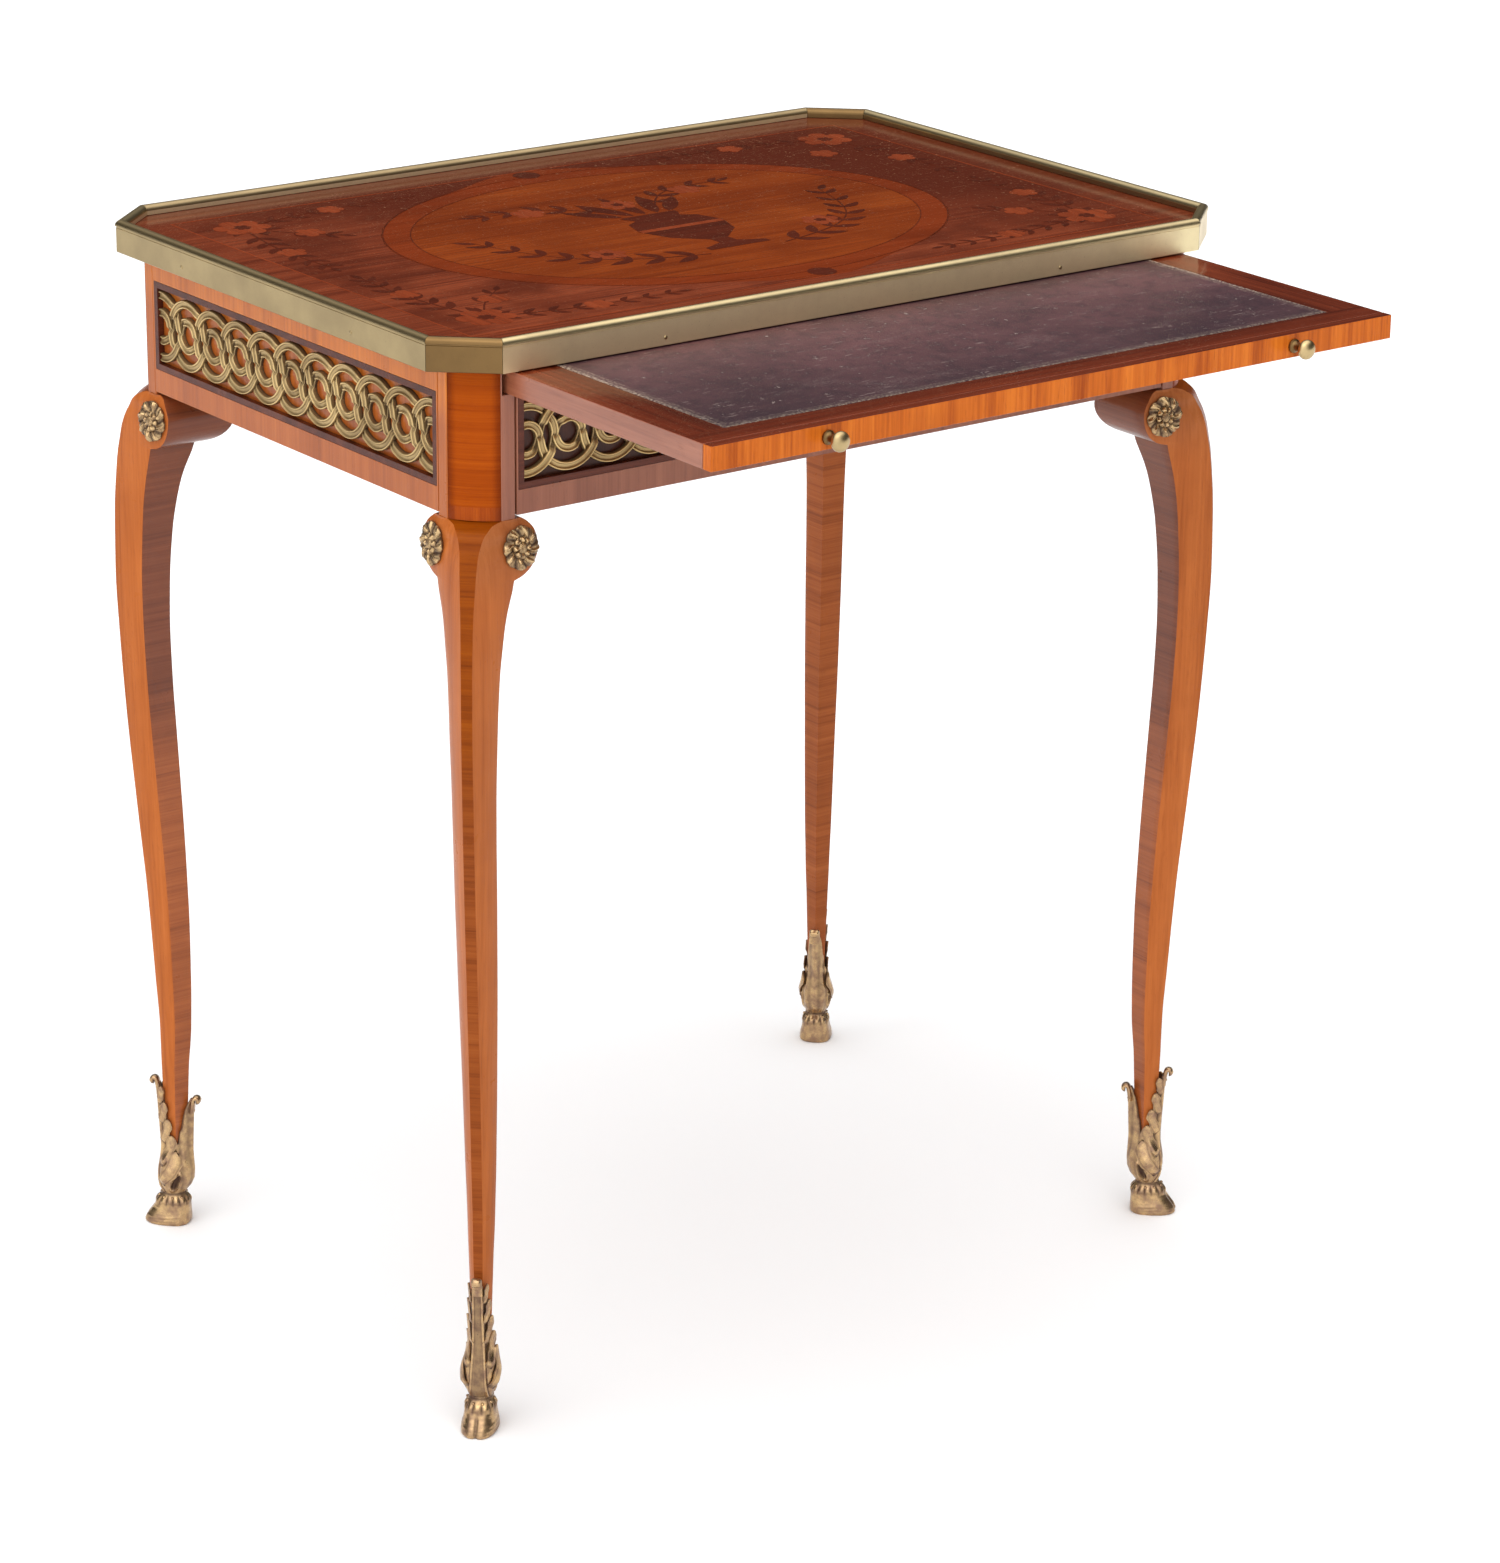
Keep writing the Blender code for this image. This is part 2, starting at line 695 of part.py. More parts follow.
def foot_section(z):
    """Plan of the straight tapering foot inside the shoe."""
    part = (z - foot_end) / (foot_joint - foot_end)
    scale = foot_scale + (1 - foot_scale) * part
    full = shank_section(-foot_reach, foot_strip_half, foot_turn_share, foot_back)
    return [(scale * (a + shoe_inset) - shoe_inset, scale * (b + shoe_inset) - shoe_inset)
            for a, b in full]


def post_section(width, slot=False):
    """Plan of the square post with its rounded pilaster, or of its top beside the slide."""
    root = math.sqrt(2)
    half = post_chamfer * root / 2
    out = Vector((1, 1)) / root
    along = Vector((-1, 1)) / root
    middle = Vector((-post_chamfer, -post_chamfer)) / 2
    radius = (half ** 2 + pilaster_bulge ** 2) / (2 * pilaster_bulge)
    arc = []
    for share in pilaster_shares:
        step = share * half
        rise = math.sqrt(radius ** 2 - step ** 2) - (radius - pilaster_bulge)
        drop = quirk_depth if abs(share) == max(pilaster_shares) else 0
        arc.append(tuple(middle + along * step + out * (rise - drop)))
    inner = (-post_chamfer if slot else -width, -width)
    end = (-post_chamfer, -post_chamfer / 2) if slot else (-width, 0)
    return [inner, (0, -width), (0, -post_chamfer)] + arc + [(-post_chamfer, 0), end]


def leg_layers(front):
    """Heights and plans of the whole leg, from the foot end to the top of the post."""
    layers = [(z, foot_section(z)) for z in (foot_end, foot_joint)]
    for row in reversed(leg_row_shares):
        z = foot_end + row[0] * leg_height
        if z < ear_z - ear_radius:
            layers.append((z, leg_section(z)))
    for turn in reversed(ear_turn_shares):
        z = ear_z + ear_radius * math.cos(math.pi * turn)
        layers.append((z, leg_section(z)))
    ledge = knee_top + ledge_height / 2
    shoulder = ear_z + math.sqrt(ear_radius ** 2 - (post_width - ear_centre) ** 2)
    layers += [(ledge, post_section(ear_back(ledge))), (shoulder, post_section(post_width))]
    if front:
        layers += [(slide_slot_bottom, post_section(post_width)),
                   (slide_slot_bottom, post_section(post_width, slot=True))]
    layers.append((board_top, post_section(post_width, slot=front)))
    return layers


def build_legs():
    """Post, cabriole leg and mitred scroll ears in one, for each corner."""
    for name, sx, sy in corner_signs:
        bm = bmesh.new()
        loft(bm, [[(sx * (body_half_width + u), sy * (body_half_depth + v), z) for u, v in plan]
                  for z, plan in leg_layers(sy < 0)])
        place(add("leg_" + name, bm, wood("leg_veneer", orange_wood), smooth=True))


def ear_face(v, z):
    """How far the ear's outer face stands out at a place along it."""
    line = leg_section(z)[1:5]
    for low, high in zip(line, line[1:]):
        if low[1] <= v <= high[1]:
            return low[0] + (high[0] - low[0]) * (v - low[1]) / (high[1] - low[1])
    return line[0][0] if v < line[0][1] else line[-1][0]


def rosette_seat():
    """Middle and outward direction of a rosette lying on the ear, as out, along and up."""
    step = rosette_radius / 2
    v, z = -rosette_inset, rosette_z
    across = (ear_face(v + step, z) - ear_face(v - step, z)) / (2 * step)
    upward = (ear_face(v, z + step) - ear_face(v, z - step)) / (2 * step)
    out = Vector((1, -across, -upward)).normalized()
    middle = Vector((ear_face(v, z), v, z))
    proud = 0
    for reach in (rosette_radius / 2, rosette_radius):
        for a, b in circle(reach, reach, 2 * rosette_petals, v, z):
            proud = max(proud, (Vector((ear_face(a, b), a, b)) - middle).dot(out))
    return middle + out * (proud + play), out


def build_rosettes():
    """A petalled gilt boss on each ear."""
    middle, out = rosette_seat()
    for name, sx, sy in corner_signs:
        for face, swap in (("side", False), ("face", True)):
            bm = bmesh.new()
            rings = []
            for wide, high in rosette_ring_shares:
                ring = circle(wide, wide, 2 * rosette_petals)
                rings.append([(a * rosette_radius * (1 if i % 2 else rosette_valley_share),
                               b * rosette_radius * (1 if i % 2 else rosette_valley_share),
                               high * rosette_thickness) for i, (a, b) in enumerate(ring)])
            loft(bm, rings)
            item = add("rosette_" + name + "_" + face, bm, brass("gilt_mount"), smooth=True)
            u, v = (middle.y, middle.x) if swap else (middle.x, middle.y)
            way = Vector((sx * (out.y if swap else out.x), sy * (out.x if swap else out.y), out.z))
            turn = Vector((0, 0, 1)).rotation_difference(way).to_euler()
            place(item, sx * (body_half_width + u), sy * (body_half_depth + v), middle.z, turn)


def ray_length(section, turn):
    """Distance from the shoe's middle to the wood's outline in one direction."""
    way = Vector((math.cos(turn), math.sin(turn)))
    spots = [Vector((a + b + 2 * shoe_inset, b - a)) / math.sqrt(2) for a, b in section]
    best = 0
    for a, b in zip(spots, spots[1:] + spots[:1]):
        edge = b - a
        cross = way.x * edge.y - way.y * edge.x
        if abs(cross) < weld ** 2:
            continue
        along = (a.x * edge.y - a.y * edge.x) / cross
        part = (a.x * way.y - a.y * way.x) / cross
        if -weld <= part <= 1 + weld and along > best:
            best = along
    return best


def shoe_turns():
    """Directions of one half of the shoe, from the outer leaf round to the inner one."""
    section = foot_section(foot_joint)
    edge, arris = section[4], section[1]
    turns = []
    for spot in (edge, arris):
        out = (spot[0] + spot[1]) / 2 + shoe_inset
        turns.append(math.atan2(abs(spot[1] - spot[0]) / 2, out))
    low, high = turns
    half = math.pi / 2
    sides = [low + (half - low) * share for share in shoe_turn_shares]
    return [0, low] + sides + [half, (half + high) / 2, high, (high + math.pi) / 2, math.pi]


def shoe_reach(turn, out, back, side):
    """Radius of a shoe ring in one direction."""
    ahead = out if math.cos(turn) > 0 else back
    return 1 / math.sqrt((math.cos(turn) / ahead) ** 2 + (math.sin(turn) / side) ** 2)


def build_shoes():
    """Cast brass shoes: a cloven hoof below, leaves up the leg at the outer and inner arrises."""
    half = shoe_turns()
    turns = half + [-turn for turn in reversed(half[1:-1])]
    tips = []
    for i, share in enumerate(shoe_rim_shares):
        tip = outer_leaf_tip if i <= 4 else inner_leaf_tip
        tips.append(leaf_cleft + share * (tip - leaf_cleft))
    tips += tips[-2:0:-1]
    body_top = shoe_level_shares[-1][0] * outer_leaf_tip
    rings = []
    for rise, out, back, side in shoe_level_shares:
        rings.append([(turn, shoe_reach(turn, out * toe_reach, back * heel_reach, side * hoof_half),
                       rise * outer_leaf_tip) for turn in turns])
    for share in shoe_leaf_shares:
        rings.append([(turn, shoe_reach(turn, leaf_out, leaf_in, leaf_half),
                       body_top + share * (tip - body_top)) for turn, tip in zip(turns, tips)])
    curls = [leaf_curl * abs(math.cos(turn)) ** 8 for turn in turns]
    rings.append([(turn, shoe_reach(turn, leaf_out, leaf_in, leaf_half) + curl, tip)
                  for turn, tip, curl in zip(turns, tips, curls)])
    inner = []
    for turn, tip, curl in zip(turns, tips, curls):
        inner.append((turn, ray_length(foot_section(tip), turn) * shoe_scale_share
                      + curl * shoe_curl_share, tip))
    rings.append(inner)
    rings.append([(turn, ray_length(foot_section(z), turn) * shoe_scale_share, z)
                  for turn, z in ((turn, body_top + shoe_lining_share * (tip - body_top))
                                  for turn, tip in zip(turns, tips))])
    rings.append([(turn, ray_length(foot_section(shoe_floor), turn) * shoe_scale_share, shoe_floor)
                  for turn in turns])
    for name, sx, sy in corner_signs:
        bm = bmesh.new()
        layers = []
        for ring in rings:
            layer = []
            for turn, reach, z in ring:
                ahead, across = reach * math.cos(turn), reach * math.sin(turn)
                u = (ahead - across) / math.sqrt(2) - shoe_inset
                v = (ahead + across) / math.sqrt(2) - shoe_inset
                layer.append((sx * (body_half_width + u), sy * (body_half_depth + v), z))
            layers.append(layer)
        loft(bm, layers)
        place(add("shoe_" + name, bm, brass("gilt_mount"), smooth=True))


def main():
    """Build every piece of the table."""
    clear_scene()
    build_top()
    build_gallery()
    drawer = build_frieze()
    build_drawer(drawer)
    build_runners()
    build_slide()
    build_legs()
    build_rosettes()
    build_shoes()


main()
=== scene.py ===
"""Finishes, light and finer shapes for a small writing table on cabriole legs."""
from __future__ import annotations

import logging
import math
from dataclasses import dataclass
from enum import Enum
from typing import Callable, Iterable, Sequence, Union

import bmesh
import bpy
import numpy as np
from mathutils import Matrix, Vector

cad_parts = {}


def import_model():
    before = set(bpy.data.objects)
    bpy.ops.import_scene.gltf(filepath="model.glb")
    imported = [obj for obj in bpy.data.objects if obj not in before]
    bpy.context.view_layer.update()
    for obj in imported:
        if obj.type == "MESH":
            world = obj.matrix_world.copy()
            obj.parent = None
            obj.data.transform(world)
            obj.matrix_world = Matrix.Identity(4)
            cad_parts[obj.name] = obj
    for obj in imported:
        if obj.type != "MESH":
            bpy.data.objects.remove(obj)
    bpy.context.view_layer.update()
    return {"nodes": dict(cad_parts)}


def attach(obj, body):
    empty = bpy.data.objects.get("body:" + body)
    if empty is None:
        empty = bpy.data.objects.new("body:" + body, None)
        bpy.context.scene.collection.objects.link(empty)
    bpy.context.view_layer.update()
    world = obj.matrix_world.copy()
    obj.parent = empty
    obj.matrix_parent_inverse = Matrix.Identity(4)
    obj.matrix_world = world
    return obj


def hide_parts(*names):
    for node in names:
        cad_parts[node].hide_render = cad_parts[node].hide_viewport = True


log = logging.getLogger("writing_table")

Colour = tuple[float, float, float]
Point = tuple[float, float, float]
Flat = tuple[float, float]
Skin = tuple[list[Point], list[list[int]]]
Cast = tuple[list[Point], list[list[int]], list[float]]
Item = bpy.types.Object
Material = bpy.types.Material
UP = Vector((0, 0, 1))
ROOT = math.sqrt(2)
TENTH = 0.0001  # a tenth of a millimetre, the unit of the longer tables
CORNERS = (("front_left", -1, -1), ("front_right", 1, -1), ("back_left", -1, 1), ("back_right", 1, 1))


def held(value: float) -> float:
    """A value held between 0 and 1."""
    return min(1.0, max(0.0, value))


def eased(share: float) -> float:
    """A share from 0 to 1, slow at both ends."""
    return share * share * (3 - 2 * share)


def swell(gap: float, width: float) -> float:
    """1 where the gap is none, falling smoothly towards 0 over about two widths."""
    return math.exp(-(gap / width) ** 2)


def polar(reach: float, turn: float, x: float = 0.0, y: float = 0.0) -> Flat:
    """The point at a reach and an angle from a middle."""
    return (x + reach * math.cos(turn), y + reach * math.sin(turn))


def round_turn(count: int, start: float = 0.0) -> list[float]:
    """Angles of one full round in equal steps."""
    return [2 * math.pi * i / count + start for i in range(count)]


class Wire:
    """One output of a node, so that shader sums read as plain expressions."""

    def __init__(self, paint: Paint, socket: bpy.types.NodeSocket) -> None:
        """Keep the socket and the finish that it belongs to."""
        self.paint = paint
        self.socket = socket

    def sum(self, operation: str, *values: Value, clamp: bool = False) -> Wire:
        """One Math node over values in order, held between 0 and 1 on request."""
        settings = {"operation": operation, "use_clamp": clamp}
        return self.paint.node("ShaderNodeMath", settings, dict(enumerate(values)))

    def __add__(self, other: Value) -> Wire:
        """Sum of two values."""
        return self.sum("ADD", self, other)

    __radd__ = __add__

    def __mul__(self, other: Value) -> Wire:
        """Product of two values."""
        return self.sum("MULTIPLY", self, other)

    __rmul__ = __mul__

    def __sub__(self, other: Value) -> Wire:
        """This value less another."""
        return self.sum("SUBTRACT", self, other)

    def __rsub__(self, other: Value) -> Wire:
        """Another value less this one."""
        return self.sum("SUBTRACT", other, self)

    def __truediv__(self, other: Value) -> Wire:
        """This value over another."""
        return self.sum("DIVIDE", self, other)

    def __rtruediv__(self, other: Value) -> Wire:
        """Another value over this one."""
        return self.sum("DIVIDE", other, self)

    def __abs__(self) -> Wire:
        """Size of this value."""
        return self.sum("ABSOLUTE", self)

    def least(self, other: Value) -> Wire:
        """The lesser of two values."""
        return self.sum("MINIMUM", self, other)

    def held(self) -> Wire:
        """This value held between 0 and 1."""
        return self.sum("ADD", self, 0.0, clamp=True)

    def step(self, low: float, high: float) -> Wire:
        """Ease from 0 at the low value to 1 at the high one."""
        return self.paint.node("ShaderNodeMapRange", {"interpolation_type": "SMOOTHSTEP"},
                               {0: self, 1: low, 2: high, 3: 0.0, 4: 1.0})

    def axis(self, index: int) -> Wire:
        """One part of a vector, by its number."""
        return self.paint.node("ShaderNodeSeparateXYZ", {}, {0: self}, index)


Value = Union[Wire, float, Sequence[float]]


class Paint:
    """A material or the surroundings under way: the nodes, and the shader that they feed."""

    def __init__(self, owner: Material | bpy.types.World, end: str = "Principled BSDF") -> None:
        """Start from the owner's own nodes.

        Args:
            owner: The material, or the world.
            end: The node that takes the results.
        """
        owner.use_nodes = True
        self.owner = owner
        self.tree = owner.node_tree
        self.shader = self.tree.nodes[end]

    def node(self, kind: str, settings: dict, inputs: dict, output: int = 0) -> Wire:
        """Add a node, settings first and then its inputs.

        Args:
            kind: The node's type.
            settings: Its properties, with a ramp's stops under the key stops.
            inputs: Values or wires by socket name or number.
            output: Which output is wanted.

        Returns:
            That output.
        """
        made = self.tree.nodes.new(kind)
        for key, value in settings.items():
            if key == "stops":
                self.fill_ramp(made.color_ramp, value)
            else:
                setattr(made, key, value)
        for key, value in inputs.items():
            self.feed(made.inputs[key], value)
        return Wire(self, made.outputs[output])

    def fill_ramp(self, ramp: bpy.types.ColorRamp, stops: Sequence[tuple[float, Colour]]) -> None:
        """Set a ramp's stops.

        Args:
            ramp: The node's ramp.
            stops: Place and colour of each.
        """
        while len(ramp.elements) < len(stops):
            ramp.elements.new(1.0)
        for element, (place, colour) in zip(ramp.elements, stops):
            element.position = place
            element.color = (*colour, 1.0)

    def feed(self, socket: bpy.types.NodeSocket, value: Value) -> None:
        """Link a wire to an input, or set its value.

        Args:
            socket: The input.
            value: A wire, a number or a colour.
        """
        if isinstance(value, Wire):
            self.tree.links.new(value.socket, socket)
        elif isinstance(value, (int, float)):
            socket.default_value = value
        else:
            wanted = len(socket.default_value)
            socket.default_value = (*value, 1.0)[:wanted] if wanted == 4 else tuple(value)

    def place(self, scale: Point = (1, 1, 1), turn: Point = (0, 0, 0), shift: Point = (0, 0, 0)) -> Wire:
        """Object coordinates through a Mapping node."""
        at = self.node("ShaderNodeTexCoord", {}, {}, 3)
        return self.node("ShaderNodeMapping", {}, {0: at, 1: shift, 2: turn, 3: scale})

    def noise(self, vector: Wire, scale: float = 1.0, detail: float = 4.0, rough: float = 0.55,
              warp: float = 0.0) -> Wire:
        """Cloudy noise read at a vector, finer with a greater scale."""
        return self.node("ShaderNodeTexNoise", {}, {"Vector": vector, "Scale": scale, "Detail": detail,
                                                    "Roughness": rough, "Distortion": warp})

    def mix(self, factor: Value, first: Value, second: Value, blend: str = "MIX") -> Wire:
        """Two colours mixed, the factor being the share of the second."""
        return self.node("ShaderNodeMix", {"data_type": "RGBA", "blend_type": blend},
                         {0: factor, 6: first, 7: second}, 2)

    def ramp(self, factor: Wire, stops: Sequence[tuple[float, Colour]]) -> Wire:
        """Colours along a value, from the place and colour of each stop."""
        return self.node("ShaderNodeValToRGB", {"stops": stops}, {0: factor})

    def mark(self, name: str) -> Wire:
        """A number stored on the piece's points, by its attribute's name."""
        return self.node("ShaderNodeAttribute", {"attribute_name": name}, {}, 2)

    def bump(self, height: Wire, depth: float) -> Wire:
        """The normal bent by a height from 0 to 1, where 1 stands the depth in metres."""
        return self.node("ShaderNodeBump", {}, {"Strength": 1.0, "Distance": depth, "Height": height})

    def finish(self, **inputs: Value) -> Material | bpy.types.World:
        """Feed the shader.

        Args:
            inputs: Values by socket name, with _ for a space.

        Returns:
            The owner.
        """
        for key, value in inputs.items():
            self.feed(self.shader.inputs[key.replace("_", " ")], value)
        return self.owner


def fresh(name: str) -> Paint:
    """The nodes of a new material."""
    return Paint(bpy.data.materials.new(name))


class Grain(Enum):
    """Which way the wood's fibres run: 1 where the pattern is fine across them."""

    UPRIGHT = (1.0, 1.0, 0.0)
    LEVEL = (0.0, 0.0, 1.0)
    ALONG_X = (0.0, 1.0, 1.0)
    ALONG_Y = (1.0, 0.0, 1.0)


@dataclass(frozen=True)
class Wood:
    """A polished veneer or plain wood."""

    name: str
    light: Colour
    middle: Colour
    dark: Colour
    grain: Grain
    fine: float = 420.0
    broad: float = 70.0
    along: float = 9.0
    streak: float = 1.0
    gloss: float = 0.3
    coat: float = 0.35
    relief: float = 0.00008
    shine: float = 0.5
    worn: float = 0.0
    far_darkening: float = 0.15
    mottle: float = 0.22
    # Painted light and shade: where the shade mask is 1, the colour is multiplied by the tint
    shade: Callable[[Paint], Wire] | None = None
    tint: Colour = (1.0, 1.0, 1.0)
    scuff: Colour = (0.44, 0.23, 0.12)
    hush: float = 0.0

    def scale(self, across: float, along: float) -> Point:
        """Pattern scale on each axis, from lines per metre across the fibres and along them."""
        return tuple(along + (across - along) * weight for weight in self.grain.value)

    def layer(self, paint: Paint, across: float, along: float, detail: float, rough: float = 0.55,
              warp: float = 0.0) -> Wire:
        """Noise drawn out along the fibres, with lines per metre across them and along them."""
        return paint.noise(paint.place(self.scale(across, along)), 1.0, detail, rough, warp)

    def paint(self, paint: Paint) -> tuple[Wire, Wire]:
        """Colour and height of the grain.

        Args:
            paint: The finish under way.

        Returns:
            The colour and the fine height.
        """
        wide = self.layer(paint, self.broad, self.along / 3, 3.0, 0.6, 0.6)
        lines = self.layer(paint, self.fine, self.along, 4.0, 0.6, 0.3)
        pores = self.layer(paint, self.fine * 4, self.along * 10, 2.0)
        mass = wide * 0.55 + lines * 0.45
        tone = ((mass - 0.5) * (2.3 * self.streak) + 0.5).held()
        colour = paint.ramp(tone, ((0.0, self.dark), (0.45, self.middle), (1.0, self.light)))
        pits = pores.step(0.4, 0.3)
        colour = paint.mix(pits * (0.35 * self.streak), colour, self.dark)
        cloud = paint.noise(paint.place(), 14.0, 3.0)
        colour = paint.mix(cloud.step(0.42, 0.68) * self.mottle, colour, self.dark)
        # The tint multiplied into the colour over the shade mask, used by the finishes for painted light and
        # shade
        if self.shade:
            colour = paint.mix(self.shade(paint), colour, self.tint, "MULTIPLY")
        return colour, lines * 0.6 - pits * 0.5

    def age(self, paint: Paint, colour: Wire) -> tuple[Wire, Wire]:
        """Specks and scratches of a top that has seen use, and darkening towards the back right.

        Args:
            paint: The finish under way.
            colour: The colour so far.

        Returns:
            The new colour and how much is worn at each place.
        """
        at = paint.place()
        # Darker towards the back right corner of the top, with more marks there
        far = (at.axis(1) * 1.6 + at.axis(0) * 0.9).step(0.02, 0.36)
        colour = paint.mix(far * self.far_darkening, colour, self.dark)
        specks = paint.noise(at, 360.0, 4.0, 0.7).step(0.635, 0.665)
        lines = paint.noise(paint.place((40, 700, 1), (0, 0, 0.4)), 1.0, 3.0, 0.7).step(0.66, 0.7)
        cross = paint.noise(paint.place((620, 45, 1), (0, 0, -0.3)), 1.0, 3.0, 0.7).step(0.67, 0.71)
        marks = (specks + lines * 0.6 + cross * 0.6).held() * (far * 0.6 + 0.4)
        colour = paint.mix(marks * self.worn, colour, self.scuff)
        return colour, marks

    def make(self) -> Material:
        """Build the nodes.

        Returns:
            The finished material.
        """
        paint = fresh(self.name)
        colour, height = self.paint(paint)
        rub = paint.noise(paint.place(), 45.0, 4.0, 0.6)
        rough = rub * 0.16 + (self.gloss - 0.08)
        coat = (1.0 - self.shade(paint) * self.hush) * self.coat if self.shade and self.hush else self.coat
        if self.worn:
            colour, marks = self.age(paint, colour)
            height = height - marks * 2.0
            rough = rough + marks * 0.25
        return paint.finish(Base_Color=colour, Roughness=rough, Specular_IOR_Level=self.shine,
                            Coat_Weight=coat, Coat_Roughness=0.12,
                            Normal=paint.bump(height, self.relief))


@dataclass(frozen=True)
class Gilt:
    """Aged gilt brass, brown where the piece's hollow mark is high: grime in the hollows together with
    painted shade.
    """

    name: str
    bright: Colour
    dull: Colour
    dirt_and_shade: Colour
    gloss: float = 0.3
    marked: bool = False
    hammer: float = 0.00004
    patch: float = 26.0

    def make(self) -> Material:
        """Build the nodes.

        Returns:
            The finished material.
        """
        paint = fresh(self.name)
        at = paint.place()
        cloud = paint.noise(at, self.patch, 5.0, 0.6)
        fine = paint.noise(at, 900.0, 3.0, 0.6)
        colour = paint.mix(cloud.step(0.3, 0.72), self.bright, self.dull)
        spots = fine.step(0.62, 0.75) * 0.35
        grime_and_shade = spots
        if self.marked:
            # The hollow mark paints grime and shade into hollows and creases
            hollow = paint.mark("hollow")
            grime_and_shade = (hollow + (cloud - 0.5) * 0.5 * hollow + spots).held()
        colour = paint.mix(grime_and_shade, colour, self.dirt_and_shade)
        rough = grime_and_shade * 0.35 + cloud * 0.18 + (self.gloss - 0.06)
        return paint.finish(Base_Color=colour, Metallic=1.0 - grime_and_shade * 0.55, Roughness=rough,
                            Normal=paint.bump(cloud * 0.6 + fine * 0.4, self.hammer))


@dataclass(frozen=True)
class Leather:
    """Old dyed leather with scuffs, white specks and a worn tooled line near its edge."""

    name: str
    middle: Point
    half: Flat
    line_in: float = 0.0035
    line_width: float = 0.003
    line_soft: float = 0.0006
    deep: Colour = (0.062, 0.03, 0.036)
    dyed: Colour = (0.14, 0.06, 0.064)
    dry: Colour = (0.045, 0.025, 0.031)
    brown: Colour = (0.11, 0.052, 0.03)
    tooled: Colour = (0.34, 0.25, 0.19)
    rubbed: Colour = (0.5, 0.39, 0.29)
    night: Colour = (0.02, 0.012, 0.018)
    chalk: Colour = (0.38, 0.29, 0.26)

    def make(self) -> Material:
        """Build the nodes.

        Returns:
            The finished material.
        """
        paint = fresh(self.name)
        at = paint.place(shift=tuple(-value for value in self.middle))
        grainy = paint.noise(at, 1100.0, 4.0, 0.6)
        cloud = paint.noise(at, 7.0, 6.0, 0.65)
        wear = paint.noise(at, 60.0, 6.0, 0.65)
        back = at.axis(1).step(-0.02, 0.15)
        colour = paint.mix(cloud.step(0.28, 0.66), self.deep, self.dyed)
        worn = paint.noise(at, 85.0, 6.0, 0.75)
        colour = paint.mix(worn.step(0.46, 0.62) * 0.45, colour, self.dry)
        colour = paint.mix(back * 0.7, colour, self.brown)
        edge = (self.half[0] - abs(at.axis(0))).least(self.half[1] - abs(at.axis(1)))
        line_out = self.line_in + self.line_width
        line = edge.step(self.line_in - self.line_soft, self.line_in) * edge.step(
            line_out + self.line_soft, line_out)
        crumb = paint.noise(at, 620.0, 4.0, 0.7).step(0.44, 0.6)
        gone = wear.step(0.34, 0.6)
        colour = paint.mix(line * crumb * (gone * 0.6 + 0.1), colour, self.tooled)
        rim = (edge + wear * 0.004).step(0.0056, 0.004) * crumb
        colour = paint.mix(rim, colour, self.rubbed)
        specks = paint.noise(at, 170.0, 6.0, 0.8).step(0.622, 0.65)
        scratch = paint.noise(paint.place((60, 420, 1), (0, 0, 0.5)), 1.0, 3.0, 0.7).step(0.65, 0.69)
        scuff = paint.noise(paint.place((26, 60, 1), (0, 0, 0.2)), 1.0, 6.0, 0.75).step(0.52, 0.66)
        pale = (specks + scratch * 0.6 + scuff * crumb * 0.22).held()
        near = at.axis(1).step(0.0, -0.14)
        colour = paint.mix(near * 0.55, colour, self.night)
        colour = paint.mix(pale * 0.75, colour, self.chalk)
        return paint.finish(Base_Color=colour, Roughness=cloud * 0.2 + 0.3 + specks * 0.2,
                            Specular_IOR_Level=0.18,
                            Normal=paint.bump(grainy * 0.5 + wear * 0.3 + specks * 0.4, 0.00025))


ORANGE = ((0.34, 0.088, 0.017), (0.255, 0.058, 0.01), (0.135, 0.026, 0.004))
PALE = ((0.5, 0.14, 0.026), (0.38, 0.092, 0.014), (0.25, 0.054, 0.008))
HONEY = ((0.54, 0.16, 0.038), (0.43, 0.115, 0.025), (0.28, 0.064, 0.013))
AMBERY = ((0.46, 0.09, 0.004), (0.32, 0.052, 0.002), (0.17, 0.022, 0.001))
# Painted shade: a dusky veneer tone for faces that turn to the front
DUSK = ((0.34, 0.12, 0.062), (0.25, 0.08, 0.04), (0.16, 0.045, 0.022))
FLAME = ((0.7, 0.19, 0.02), (0.52, 0.115, 0.01), (0.28, 0.045, 0.004))
RUSSET = ((0.46, 0.13, 0.032), (0.33, 0.082, 0.018), (0.15, 0.034, 0.008))
ROSY = ((0.36, 0.12, 0.06), (0.27, 0.08, 0.037), (0.17, 0.044, 0.02))
PURPLE = ((0.15, 0.036, 0.015), (0.085, 0.018, 0.008), (0.04, 0.008, 0.004))
CHERRY = ((0.27, 0.056, 0.02), (0.185, 0.034, 0.012), (0.095, 0.015, 0.005))
AMBER = ((0.31, 0.06, 0.008), (0.225, 0.036, 0.004), (0.135, 0.019, 0.002))
CLARET = ((0.26, 0.042, 0.009), (0.205, 0.029, 0.004), (0.125, 0.016, 0.002))
SMOKE = ((0.13, 0.022, 0.008), (0.09, 0.014, 0.005), (0.045, 0.008, 0.003))
BLUSH = ((0.33, 0.064, 0.02), (0.245, 0.042, 0.012), (0.15, 0.024, 0.007))
BARE = ((0.42, 0.22, 0.1), (0.33, 0.15, 0.065), (0.2, 0.09, 0.036))


